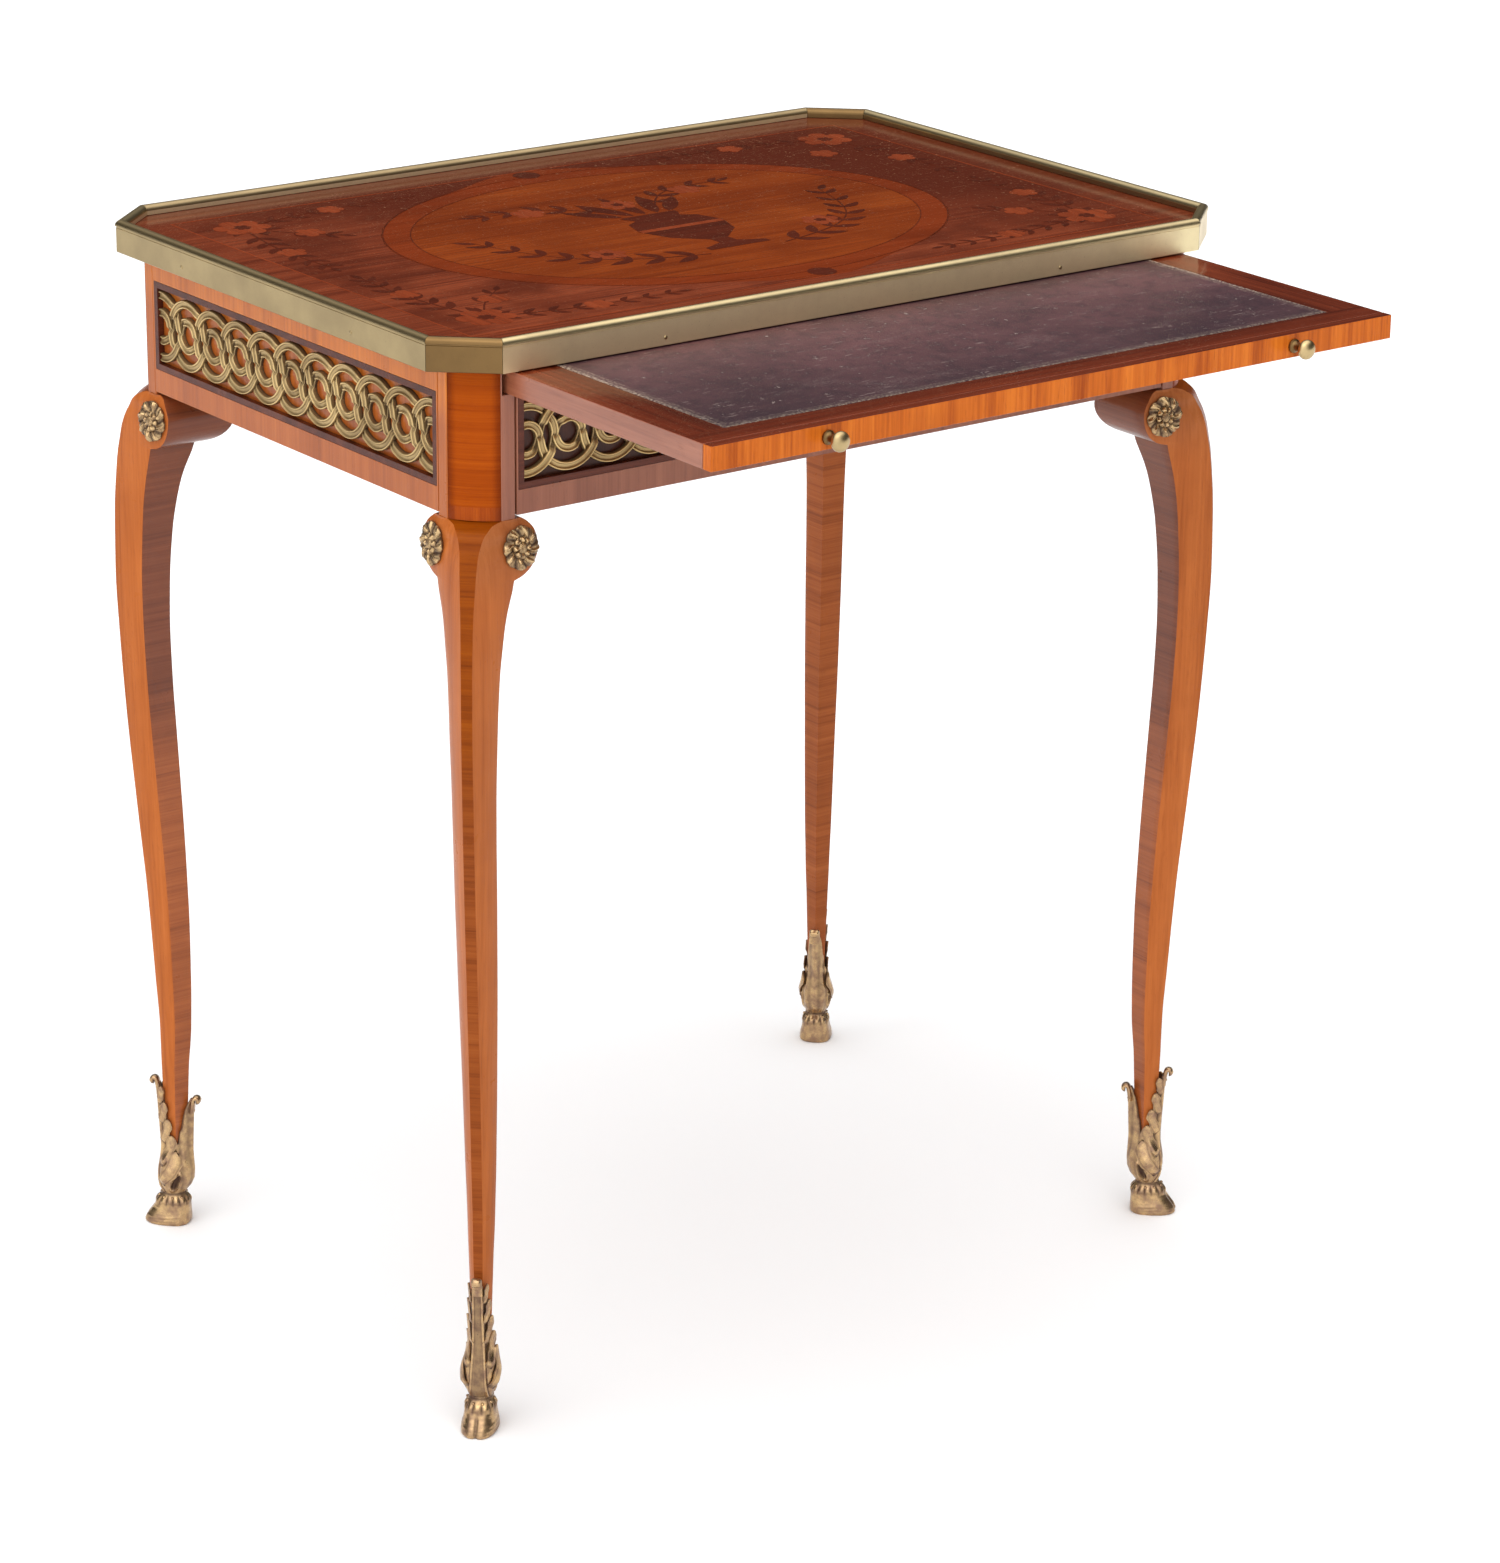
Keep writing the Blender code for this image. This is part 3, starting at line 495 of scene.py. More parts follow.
class Finishes:
    """Every finish on the table, made once and shared."""

    @staticmethod
    def above(low: float, high: float) -> Callable[[Paint], Wire]:
        """A mask that grows between two heights, for a finish's tint."""
        return lambda paint: paint.place().axis(2).step(low, high)

    @staticmethod
    def forward(paint: Paint) -> Wire:
        """Painted shade over the front half of the slide's border, darker than the back half."""
        return paint.place().axis(1).step(-0.14, -0.2)

    @staticmethod
    def panel(paint: Paint) -> Wire:
        """Painted shade over the sunk ground behind the front fret, under the slide.

        Args:
            paint: The finish under way.

        Returns:
            The shade.
        """
        at = paint.place()
        z = at.axis(2)
        inside = abs(at.axis(0)).step(0.2578, 0.2572) * at.axis(1).step(-0.084, -0.088)
        return z.step(0.625, 0.6254) * z.step(0.6846, 0.6842) * inside

    @staticmethod
    def flanks(paint: Paint) -> Wire:
        """Painted shade towards both edges of the rounded corner pilasters.

        Args:
            paint: The finish under way.

        Returns:
            The shade.
        """
        at = paint.place(shift=(0.0, -PLAN.shift, 0.0))
        across = abs(abs(at.axis(0)) - abs(at.axis(1)) - (PLAN.body_x - PLAN.body_y))
        return across.step(0.014, 0.0225) * 0.8

    def __init__(self) -> None:
        """Make the finishes."""
        upright, level, across, along = Grain.UPRIGHT, Grain.LEVEL, Grain.ALONG_X, Grain.ALONG_Y
        cross = {"broad": 150.0, "fine": 800.0}
        rounded = {"broad": 260.0, "shade": self.flanks, "tint": (0.5, 0.42, 0.6)}
        bare = {"gloss": 0.6, "coat": 0.0}
        # Painted shade: the slide's border darkens towards the front
        border = {"gloss": 0.16, "coat": 0.16, "shine": 0.2, "streak": 1.5, "worn": 0.2,
                  "relief": 0.00004, "shade": self.forward, "tint": (0.72, 0.62, 0.6)}
        top = {"gloss": 0.15, "coat": 0.1, "shine": 0.13, "relief": 0.00005}
        # Painted light: the upper rail of the frieze is brightened
        self.face_upright = Wood("veneer_upright", *PALE, upright, shine=0.22, coat=0.16,
                                 shade=self.above(0.662, 0.69), tint=(1.48, 1.62, 1.05)).make()
        self.leg_face = Wood("leg_face_veneer", *HONEY, upright, broad=55.0, shine=0.06, coat=0.05).make()
        self.leg_strip = Wood("leg_corner_veneer", *ORANGE, level, **cross, streak=1.1, shine=0.05,
                              coat=0.04, shade=self.above(0.38, 0.5), tint=(0.95, 0.82, 0.15)).make()
        # Painted reflection: a copy of the leg veneer for the front legs' front faces, mauve towards the top
        self.leg_front = Wood("leg_front_veneer", *HONEY, upright, broad=55.0, shine=0.07, coat=0.06,
                              shade=self.above(0.55, 0.605), tint=(0.84, 0.98, 1.4)).make()
        self.leg_inner = Wood("leg_inner_veneer", *RUSSET, level, **cross, streak=0.9, shine=0.08,
                              coat=0.05).make()
        # Painted shadow: a darker copy of the inner veneer for two legs, darkest towards the top
        self.leg_shadow = Wood("leg_inner_veneer_dark", *RUSSET, level, **cross, streak=0.9, shine=0.22,
                               coat=0.3, shade=self.above(0.3, 0.42), tint=(0.52, 0.52, 0.8)).make()
        # Painted shade towards the pilasters' edges, through the flanks mask
        self.pilaster = Wood("pilaster_veneer", *AMBERY, level, fine=1400.0, streak=0.65, shine=0.03,
                             coat=0.02, **rounded).make()
        self.pilaster_foot = Wood("pilaster_foot_veneer", *AMBERY, upright, fine=900.0, streak=0.9,
                                  shine=0.08, coat=0.05, **rounded).make()
        # Painted shade: the drawer front takes the dusky front tone, and the ground behind its fret is
        # darkened, its coat taken away
        self.drawer_face = Wood("drawer_veneer", *DUSK, upright, shine=0.22, coat=0.4, hush=1.0,
                                shade=self.panel, tint=(0.2, 0.17, 0.18)).make()
        # Painted shade: the dusky front tone on the front posts' front-facing flanks
        self.post_front = Wood("post_front_veneer", *DUSK, upright, shine=0.35, coat=0.25).make()
        self.lip = Wood("slide_lip_veneer", *FLAME, upright, streak=1.15, gloss=0.22, shine=0.08,
                        coat=0.06).make()
        self.slide_front = Wood("slide_border_across", *CHERRY, across, **border).make()
        self.slide_side = Wood("slide_border_along", *CHERRY, along, **border).make()
        self.slide_edge = Wood("slide_edge_wood", *ROSY, along, streak=1.6).make()
        self.purple = Wood("edging_wood_dark", *PURPLE, across, shine=0.2, coat=0.05).make()
        self.bare_x = Wood("plain_wood_across", *BARE, across, **bare).make()
        self.bare_y = Wood("plain_wood_along", *BARE, along, **bare).make()
        self.top_field = Wood("top_field_veneer", *CHERRY, across, worn=0.45, far_darkening=1.0, streak=1.7,
                              mottle=0.75, broad=50.0, **top).make()
        self.top_band = Wood("top_band_veneer", *CHERRY, across, worn=0.35, far_darkening=0.8, streak=1.4,
                             **top).make()
        self.ring = Wood("oval_ring_veneer", *CLARET, across, worn=0.35, mottle=0.4, **top).make()
        self.medallion = Wood("medallion_veneer", *AMBER, across, worn=0.35, streak=1.3, mottle=0.45,
                              broad=45.0, **top).make()
        self.inlay_dark = Wood("inlay_dark_veneer", *SMOKE, across, worn=0.45, **top).make()
        self.inlay_red = Wood("inlay_red_veneer", *BLUSH, along, worn=0.45, **top).make()
        # Lit and shaded copies of one gilt: the bright and rim gilts are painted highlights, the back-rim
        # and darkest gilts painted shade
        self.gallery = Gilt("gallery_gilt", (0.4, 0.3, 0.15), (0.33, 0.245, 0.125),
                            (0.12, 0.075, 0.03), gloss=0.34).make()
        self.gallery_front = Gilt("gallery_front_gilt", (0.92, 0.79, 0.49), (0.8, 0.66, 0.41),
                                  (0.2, 0.12, 0.05), gloss=0.5).make()
        self.gallery_back = Gilt("gallery_back_gilt", (0.42, 0.31, 0.165), (0.33, 0.24, 0.125),
                                 (0.1, 0.06, 0.025), gloss=0.34).make()
        self.gallery_rim = Gilt("gallery_rim_gilt", (0.66, 0.52, 0.28), (0.54, 0.42, 0.23),
                                (0.14, 0.085, 0.035), gloss=0.3).make()
        self.gilt_in_shade = Gilt("gallery_corner_gilt", (0.2, 0.118, 0.046), (0.155, 0.092, 0.037),
                         (0.06, 0.035, 0.016), gloss=0.3).make()
        # These gilts darken by the hollow mark: grime in the hollows together with painted shade under
        # leaves, between petals and where bands cross
        self.mount = Gilt("mount_gilt", (0.66, 0.44, 0.215), (0.32, 0.195, 0.125), (0.085, 0.042, 0.026),
                          gloss=0.21, marked=True, patch=150.0).make()
        self.boss = Gilt("boss_gilt", (0.7, 0.48, 0.24), (0.26, 0.16, 0.085), (0.07, 0.034, 0.016),
                         gloss=0.14, hammer=0.0005, marked=True, patch=260.0).make()
        self.fret = Gilt("fret_gilt", (0.74, 0.53, 0.24), (0.48, 0.33, 0.145), (0.08, 0.042, 0.018),
                         gloss=0.28, marked=True).make()
        self.knob = Gilt("knob_brass", (0.54, 0.4, 0.2), (0.38, 0.28, 0.14), (0.07, 0.045, 0.025)).make()


@dataclass(frozen=True)
class Plan:
    """Sizes shared by the pieces, in metres, y measured from the table's own middle."""

    shift: float = 0.10425
    height: float = 0.7238
    half_width: float = 0.3117
    half_depth: float = 0.2138
    cant_x: float = 0.035
    cant_y: float = 0.031
    gallery_foot: float = 0.7025
    body_x: float = 0.2935
    body_y: float = 0.2013
    board_bottom: float = 0.6095
    board_top: float = 0.7022
    post_width: float = 0.0332
    veneer_top: float = 0.717
    fret_z: float = 0.65475
    play: float = 0.0003
    foot_end: float = 0.046
    foot_joint: float = 0.12
    foot_scale: float = 0.72
    shoe_inset: float = 0.0088

    def taper(self, z: float) -> float:
        """Size of the wooden foot at a height, as a share of its size at the joint."""
        part = held((z - self.foot_end) / (self.foot_joint - self.foot_end))
        return self.foot_scale + (1 - self.foot_scale) * part


PLAN = Plan()


class Shape:
    """Ways of making and finishing a mesh that every piece uses."""

    @staticmethod
    def build(name: str, points: Sequence[Point], faces: Sequence[Sequence[int]],
              finishes: Sequence[Material], kinds: Sequence[int] = (),
              angle: float = 35.0, marks: Sequence[float] = ()) -> Item:
        """A mesh object from points in the table's own frame.

        Args:
            name: The piece's name.
            points: Its points.
            faces: Its faces by point number.
            finishes: Its materials.
            kinds: Material number of each face.
            angle: Edges sharper than this stay crisp.
            marks: How hollow the surface is at each point, from 0 to 1.

        Returns:
            The object.
        """
        mesh = bpy.data.meshes.new(name)
        mesh.from_pydata([(x, y + PLAN.shift, z) for x, y, z in points], [], [list(f) for f in faces])
        for finish in finishes:
            mesh.materials.append(finish)
        if len(kinds):
            mesh.polygons.foreach_set("material_index", list(kinds))
        if len(marks):
            layer = mesh.attributes.new("hollow", "FLOAT", "POINT")
            layer.data.foreach_set("value", list(marks))
        mesh.update()
        work = bmesh.new()
        work.from_mesh(mesh)
        bmesh.ops.recalc_face_normals(work, faces=work.faces)
        work.to_mesh(mesh)
        work.free()
        mesh.shade_smooth()
        mesh.set_sharp_from_angle(angle=math.radians(angle))
        item = bpy.data.objects.new(name, mesh)
        bpy.context.collection.objects.link(item)
        return item

    @staticmethod
    def skin(rings: Sequence[Sequence[Point]], caps: bool = True, loop: bool = False) -> Skin:
        """Points and faces of a form skinned over rings of equal count.

        Args:
            rings: The rings in order.
            caps: Whether both ends are closed by a face.
            loop: Whether the last ring joins the first.

        Returns:
            The points and the faces.
        """
        count = len(rings[0])
        points = [point for ring in rings for point in ring]
        faces = []
        for level in range(len(rings) if loop else len(rings) - 1):
            base, over = level * count, (level + 1) % len(rings) * count
            faces += [[base + i, base + (i + 1) % count, over + (i + 1) % count, over + i]
                      for i in range(count)]
        if caps:
            faces.append(list(range(count)))
            faces.append([(len(rings) - 1) * count + i for i in range(count)])
        return points, faces

    @staticmethod
    def cast(rows: Sequence[Sequence[tuple[Point, float]]], caps: bool = True, loop: bool = False) -> Cast:
        """The same, over rings whose points each carry a hollow mark."""
        points, faces = Shape.skin([[point for point, _ in row] for row in rows], caps, loop)
        return points, faces, [mark for row in rows for _, mark in row]

    @staticmethod
    def join(parts: Iterable[Cast]) -> Cast:
        """Several forms as one.

        Args:
            parts: Points, faces and hollow marks of each.

        Returns:
            The same three for the whole.
        """
        points, faces, marks = [], [], []
        for more, sides, dirt_and_shade in parts:
            faces += [[index + len(points) for index in face] for face in sides]
            points += more
            marks += dirt_and_shade
        return points, faces, marks

    @staticmethod
    def alone(item: Item) -> None:
        """Select only this object.

        Args:
            item: The object.
        """
        bpy.ops.object.select_all(action="DESELECT")
        item.select_set(True)
        bpy.context.view_layer.objects.active = item

    @staticmethod
    def placed(name: str) -> Item:
        """Name the primitive added last and put its place into its mesh.

        Args:
            name: The piece's name.

        Returns:
            The object.
        """
        item = bpy.context.object
        item.name = item.data.name = name
        bpy.ops.object.transform_apply(location=True, rotation=True, scale=True)
        return item

    @staticmethod
    def cube(name: str, low: Point, high: Point) -> Item:
        """A cube primitive between two corners in the table's own frame.

        Args:
            name: The piece's name.
            low: Lowest corner.
            high: Highest corner.

        Returns:
            The object, with its place in its mesh.
        """
        bpy.ops.object.select_all(action="DESELECT")
        middle = [(a + b) / 2 for a, b in zip(low, high)]
        middle[1] += PLAN.shift
        bpy.ops.mesh.primitive_cube_add(size=1, location=middle,
                                        scale=[b - a for a, b in zip(low, high)])
        return Shape.placed(name)

    @staticmethod
    def cut(item: Item, place: Point, normal: Point) -> None:
        """Bisect the whole mesh by a plane in the table's own frame.

        Args:
            item: The object.
            place: A point on the plane.
            normal: The plane's normal.
        """
        Shape.alone(item)
        bpy.ops.object.mode_set(mode="EDIT")
        bpy.ops.mesh.select_all(action="SELECT")
        bpy.ops.mesh.bisect(plane_co=(place[0], place[1] + PLAN.shift, place[2]), plane_no=normal)
        bpy.ops.object.mode_set(mode="OBJECT")

    @staticmethod
    def push(item: Item, wanted: Callable[[bpy.types.MeshPolygon], bool], way: Point) -> None:
        """Extrude the faces that a test accepts.

        Args:
            item: The object.
            wanted: The test.
            way: How far and which way they move.
        """
        Shape.alone(item)
        bpy.ops.object.mode_set(mode="EDIT")
        bpy.ops.mesh.select_mode(type="FACE")
        bpy.ops.mesh.select_all(action="DESELECT")
        bpy.ops.object.mode_set(mode="OBJECT")
        for face in item.data.polygons:
            face.select = wanted(face)
        bpy.ops.object.mode_set(mode="EDIT")
        bpy.ops.mesh.extrude_region_move(TRANSFORM_OT_translate={"value": way})
        Shape.close()

    @staticmethod
    def close() -> None:
        """Turn every face outwards and leave edit mode."""
        bpy.ops.mesh.select_all(action="SELECT")
        bpy.ops.mesh.normals_make_consistent(inside=False)
        bpy.ops.object.mode_set(mode="OBJECT")

    @staticmethod
    def turned(name: str, seat: Point, axis: Point, profile: Sequence[Flat], sides: int) -> Item:
        """A turned piece, drawn out of a disc step by step.

        Args:
            name: The piece's name.
            seat: Where its axis leaves the surface, in the table's own frame.
            axis: Which way it points.
            profile: Distance out and radius at each step.
            sides: Faces round it.

        Returns:
            The object.
        """
        bpy.ops.object.select_all(action="DESELECT")
        out = Vector(axis).normalized()
        start, radius = profile[0]
        place = Vector(seat) + Vector((0, PLAN.shift, 0)) + out * start
        turn = UP.rotation_difference(out).to_euler()
        bpy.ops.mesh.primitive_circle_add(vertices=sides, radius=radius, fill_type="NGON",
                                          location=place, rotation=turn)
        item = Shape.placed(name)
        bpy.ops.object.mode_set(mode="EDIT")
        bpy.ops.mesh.select_mode(type="FACE")
        bpy.ops.mesh.select_all(action="SELECT")
        for (before, wide), (after, narrow) in zip(profile, profile[1:]):
            step = out * (after - before)
            place = place + step
            bpy.ops.mesh.extrude_region_move(TRANSFORM_OT_translate={"value": step})
            ratio = narrow / wide
            bpy.ops.transform.resize(value=(ratio, ratio, ratio), center_override=place)
        Shape.close()
        bpy.ops.object.shade_smooth_by_angle(angle=math.radians(42))
        return item

    @staticmethod
    def soften(item: Item, width: float) -> None:
        """Round the crisp edges and shade the rest smooth.

        Args:
            item: The object.
            width: Width of the rounding.
        """
        Shape.alone(item)
        edge = item.modifiers.new("rounding", "BEVEL")
        edge.width = width
        edge.segments = 2
        edge.limit_method = "ANGLE"
        edge.angle_limit = math.radians(40)
        edge.use_clamp_overlap = True
        edge.harden_normals = False
        bpy.ops.object.modifier_apply(modifier=edge.name)
        bpy.ops.object.shade_smooth_by_angle(angle=math.radians(35))

    @staticmethod
    def dress(item: Item, finishes: Sequence[Material],
              chooser: Callable[[Vector, Vector], int] | None = None) -> None:
        """Give a piece its finishes.

        Args:
            item: The object.
            finishes: Its materials.
            chooser: Picks a material number from a face's middle and normal.
        """
        item.data.materials.clear()
        for finish in finishes:
            item.data.materials.append(finish)
        if chooser is not None:
            for face in item.data.polygons:
                face.material_index = chooser(face.center - Vector((0, PLAN.shift, 0)), face.normal)
        Shape.alone(item)
        even = item.modifiers.new("even_shading", "WEIGHTED_NORMAL")
        even.keep_sharp = True
        bpy.ops.object.modifier_apply(modifier=even.name)

    @staticmethod
    def settle(item: Item, body: str, slot: str, *nodes: str) -> None:
        """Hang a piece on its body and hide the solids that it stands for.

        Args:
            item: The object.
            body: The body it rides on.
            slot: Not used.
            nodes: The solids it stands for.
        """
        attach(item, body)
        if nodes:
            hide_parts(*nodes)
        log.info("%s on %s, %d faces", item.name, body, len(item.data.polygons))


@dataclass
class Assembly:
    """A group of the table's pieces, with the finishes and the solids that it dresses."""

    finishes: Finishes
    nodes: dict[str, Item]

    def coat(self, names: Iterable[str], finish: Material) -> None:
        """Give solids a finish.

        Args:
            names: Their names.
            finish: The material.
        """
        for name in names:
            for slot in self.nodes[name].material_slots:
                slot.material = finish
            log.info("%s finished", name)


@dataclass
class Leg(Assembly):
    """Post, cabriole leg and mitred scroll ears."""

    knee_reach: float = 0.0135
    strip_half: float = 0.0035
    ear_radius: float = 0.0195
    ear_centre: float = 0.03
    foot_turn: float = 0.32
    foot_strip: float = 0.003
    foot_reach: float = 0.007
    foot_back: float = 0.0182
    foot_bulge: float = 0.0006
    face_bulge: float = 0.0009
    post_chamfer: float = 0.0237
    post_soft: float = 0.0006
    pilaster_bulge: float = 0.0025
    moulding_top: float = 0.616
    slot_z: float = 0.6855
    rounding: float = 0.0008
    slices: int = 84
    ear_slices: int = 25
    arc_half: int = 9
    seam: float = 0.0009
    rows: tuple = (
        (1.0, -1.281, 4.94, 0.045, 0.61), (0.997, -0.874, 3.46, 0.05, 0.61),
        (0.9938, -0.63, 3.03, 0.055, 0.61), (0.9866, -0.259, 2.29, 0.065, 0.61),
        (0.9759, -0.022, 1.83, 0.083, 0.61), (0.9688, 0.148, 1.63, 0.093, 0.61),
        (0.951, 0.407, 1.47, 0.12, 0.61), (0.9336, 0.55, 1.34, 0.148, 0.61),
        (0.9177, 0.674, 1.23, 0.17, 0.566), (0.9038, 0.741, 1.14, 0.19, 0.517),
        (0.8869, 0.811, 1.09, 0.21, 0.469), (0.8566, 0.911, 1.03, 0.235, 0.412),
        (0.8263, 0.956, 1.0, 0.26, 0.372), (0.7631, 1.0, 0.99, 0.28, 0.329),
        (0.6999, 0.911, 0.99, 0.29, 0.315), (0.6358, 0.785, 0.99, 0.295, 0.325),
        (0.5717, 0.622, 0.99, 0.3, 0.347), (0.5076, 0.415, 0.99, 0.305, 0.37),
        (0.4434, 0.2, 0.99, 0.31, 0.392), (0.3785, -0.03, 0.99, 0.32, 0.408),
        (0.3135, -0.207, 0.98, 0.33, 0.418), (0.2476, -0.356, 0.96, 0.33, 0.416),
        (0.1799, -0.504, 0.9, 0.325, 0.402), (0.1318, -0.5185, 0.857, 0.32, 0.3677))

    def __post_init__(self) -> None:
        """Work out the heights that follow from the sizes."""
        self.knee_top = PLAN.board_bottom - 0.002
        self.leg_height = self.knee_top - PLAN.foot_end
        self.ear_z = PLAN.board_bottom - PLAN.play - self.ear_radius
        self.reach = self.ear_centre + self.ear_radius
        self.table = np.array(sorted(self.rows))

    def row(self, share: float) -> list[float]:
        """Leg sizes at a share of its height, eased between the rows.

        Args:
            share: Height share.

        Returns:
            Reach, strip, turn and back.
        """
        keys = self.table[:, 0]
        last = len(keys) - 2
        share = min(max(share, keys[0]), keys[-1])
        i = min(max(int(np.searchsorted(keys, share)) - 1, 0), last)
        run = keys[i + 1] - keys[i]
        part = (share - keys[i]) / run
        values = []
        for line in self.table[:, 1:].T:
            rates = np.diff(line) / np.diff(keys)
            slopes = []
            for k in (i, i + 1):
                before, after = (rates[k - 1], rates[k]) if 0 < k <= last else (rates[i], rates[i])
                slopes.append(0.0 if before * after <= 0 else 2 * before * after / (before + after))
            values.append(line[i] + (line[i + 1] - line[i]) * eased(part)
                          + part * (1 - part) * run * ((1 - part) * slopes[0] - part * slopes[1]))
        return values

    def half_section(self, reach: float, strip: float, turn: float, back: float,
                     bulge: float) -> list[Flat]:
        """One half of the plan, from the inner corner round to the middle of the corner strip.

        Args:
            reach: How far the strip stands out along the diagonal.
            strip: Half the strip's width.
            turn: Splay of the outer face.
            back: Depth of the inner corner.
            bulge: Swell of the outer face.

        Returns:
            The points in order.
        """
        edge = Vector((reach + strip, reach - strip)) / ROOT
        arris = Vector((edge.x - turn * (edge.y + back), -back))
        run = edge - arris
        side = Vector((run.y, -run.x)).normalized() * bulge
        soft = min(self.rounding, run.length / 4, (arris.x + back) / 4)
        way = run.normalized()
        points = [(-back, -back)]
        points += [(-back + (arris.x - soft + back) * share, -back) for share in (0.25, 0.5, 0.75, 1.0)]
        points.append((arris.x - soft * 0.28 + way.x * soft * 0.28, -back + way.y * soft * 0.28))
        for share in (0.0, 0.16, 0.33, 0.5, 0.66, 0.83, 1.0):
            at = arris + way * soft + (run - way * soft) * share
            points.append(tuple(at + side * 4 * share * (1 - share)))
        middle = Vector((reach, reach)) / ROOT
        return points + [tuple(edge + (middle - edge) * share) for share in (0.12, 0.55)] + [tuple(middle)]

    @staticmethod
    def whole(half: Sequence[Flat]) -> list[Flat]:
        """A plan from its half, mirrored over the diagonal."""
        return list(half) + [(b, a) for a, b in reversed(half[1:-1])]

    def ear_back(self, z: float) -> float:
        """How far back the ear reaches at a height."""
        return self.ear_centre + math.sqrt(max(0.0, self.ear_radius ** 2 - (z - self.ear_z) ** 2))

    def section(self, z: float, ear: bool) -> list[Flat]:
        """Plan of the leg at a height.

        Args:
            z: The height.
            ear: Whether the ear's depth is used.

        Returns:
            The plan's points.
        """
        if z < PLAN.foot_joint:
            scale = PLAN.taper(z)
            half = self.half_section(-self.foot_reach, self.foot_strip, self.foot_turn, self.foot_back,
                                     self.foot_bulge)
            inset = PLAN.shoe_inset
            return self.whole([(scale * (a + inset) - inset, scale * (b + inset) - inset) for a, b in half])
        reach, strip, turn, back = self.row((z - PLAN.foot_end) / self.leg_height)
        depth = self.ear_back(z) if ear else back * self.reach
        return self.whole(self.half_section(reach * self.knee_reach, strip * self.strip_half, turn, depth,
                                            self.face_bulge))

    def layers(self) -> list[tuple[float, list[Flat]]]:
        """The leg in slices, from the foot to the knee's top.

        Returns:
            Height and plan of each.
        """
        bottom = self.ear_z - self.ear_radius
        heights = np.linspace(PLAN.foot_end, bottom - 0.0005, self.slices)
        stack = [(z, self.section(z, False)) for z in heights]
        for i in range(1, self.ear_slices + 1):
            z = self.ear_z - self.ear_radius * math.cos(math.pi * (0.02 + 0.85 * i / self.ear_slices))
            if z < self.knee_top:
                stack.append((z, self.section(z, True)))
        stack.append((self.knee_top, self.section(self.knee_top, True)))
        return stack

    @staticmethod
    def set_on(stack: Sequence[tuple[float, list[Flat]]], sx: int, sy: int) -> list[list[Point]]:
        """Plans stacked on one corner of the body."""
        return [[(sx * (PLAN.body_x + u), sy * (PLAN.body_y + v), z) for u, v in plan] for z, plan in stack]

    @staticmethod
    def kinds(count: int) -> list[int]:
        """Finish of each side of a plan: 0 outer, 1 corner strip, 2 inner, 3 outer to front or back."""
        return [2] * 5 + [0] * 7 + [1] * (count - 24) + [3] * 7 + [2] * 5

    def make(self, name: str, sx: int, sy: int) -> Item:
        """One leg below the post.

        Args:
            name: The piece's name.
            sx: Side across.
            sy: Side in depth.

        Returns:
            The object.
        """
        rings = self.set_on(self.layers(), sx, sy)
        kinds = self.kinds(len(rings[0])) * (len(rings) - 1) + [2, 2]
        look = self.finishes
        # Painted shadow: two legs take the darker copy of the inner veneer
        inner = look.leg_shadow if sx == -sy else look.leg_inner
        # Painted reflection: the front legs' front faces take the copy with the mauve top
        outer = look.leg_front if sy < 0 else look.leg_face
        return Shape.build(name, *Shape.skin(rings), (look.leg_face, look.leg_strip, inner, outer), kinds,
                           28)

    def post_plan(self, slot: bool) -> list[Flat]:
        """Plan of the square post with its rounded pilaster.

        Args:
            slot: Whether it is the narrow top beside the slide.

        Returns:
            The plan's points.
        """
        cut = self.post_chamfer
        half = cut * ROOT / 2
        out, along, middle = Vector((1, 1)) / ROOT, Vector((-1, 1)) / ROOT, Vector((-cut, -cut)) / 2
        radius = (half ** 2 + self.pilaster_bulge ** 2) / (2 * self.pilaster_bulge)
        arc = []
        for i in range(2 * self.arc_half + 1):
            share = -1 + i / self.arc_half
            step = share * half * 0.985
            rise = math.sqrt(radius ** 2 - step ** 2) - (radius - self.pilaster_bulge)
            drop = self.seam if 0.9 < abs(share) < 0.995 or abs(share) == 1 else 0.0
            arc.append(tuple(middle + along * step + out * (rise - drop)))
        width = PLAN.post_width
        inner = (-cut if slot else -width, -width)
        end = (-cut, -cut / 2) if slot else (-width, 0)
        soft = self.post_soft
        return [inner, (-soft, -width), (0, -width + soft), (0, -cut - soft), (-soft, -cut), *arc,
                (-cut, -soft), (-cut - soft, 0), end]

    def make_post(self, name: str, sx: int, sy: int) -> Item:
        """The post above the knee, with the thin moulding at its foot.

        Args:
            name: The piece's name.
            sx: Side across.
            sy: Side in depth.

        Returns:
            The object.
        """
        levels = [(self.knee_top, False), (self.moulding_top, False)]
        if sy < 0:
            levels += [(self.slot_z, False), (self.slot_z, True)]
        levels.append((PLAN.board_top, sy < 0))
        rings = self.set_on([(z, self.post_plan(slot)) for z, slot in levels], sx, sy)
        count = len(rings[0])
        # Painted shade: the front posts' front-facing flanks take the dusky front finish
        front = 3 if sy < 0 else 0
        kinds = []
        for level in range(len(rings) - 1):
            panel = 1 if level else 2
            kinds += [0] * 4 + [panel] * (count - 8) + [front] * 4
        look = self.finishes
        return Shape.build(name, *Shape.skin(rings), (look.face_upright, look.pilaster, look.pilaster_foot,
                                                      look.post_front), kinds + [0, 0], 30)

    def dress(self) -> None:
        """Make and hang all four."""
        for name, sx, sy in CORNERS:
            leg = self.make("leg_shape_" + name, sx, sy)
            Shape.settle(leg, "table", "leg_veneer", "leg_" + name)
            Shape.settle(self.make_post("post_" + name, sx, sy), "table", "leg_veneer")


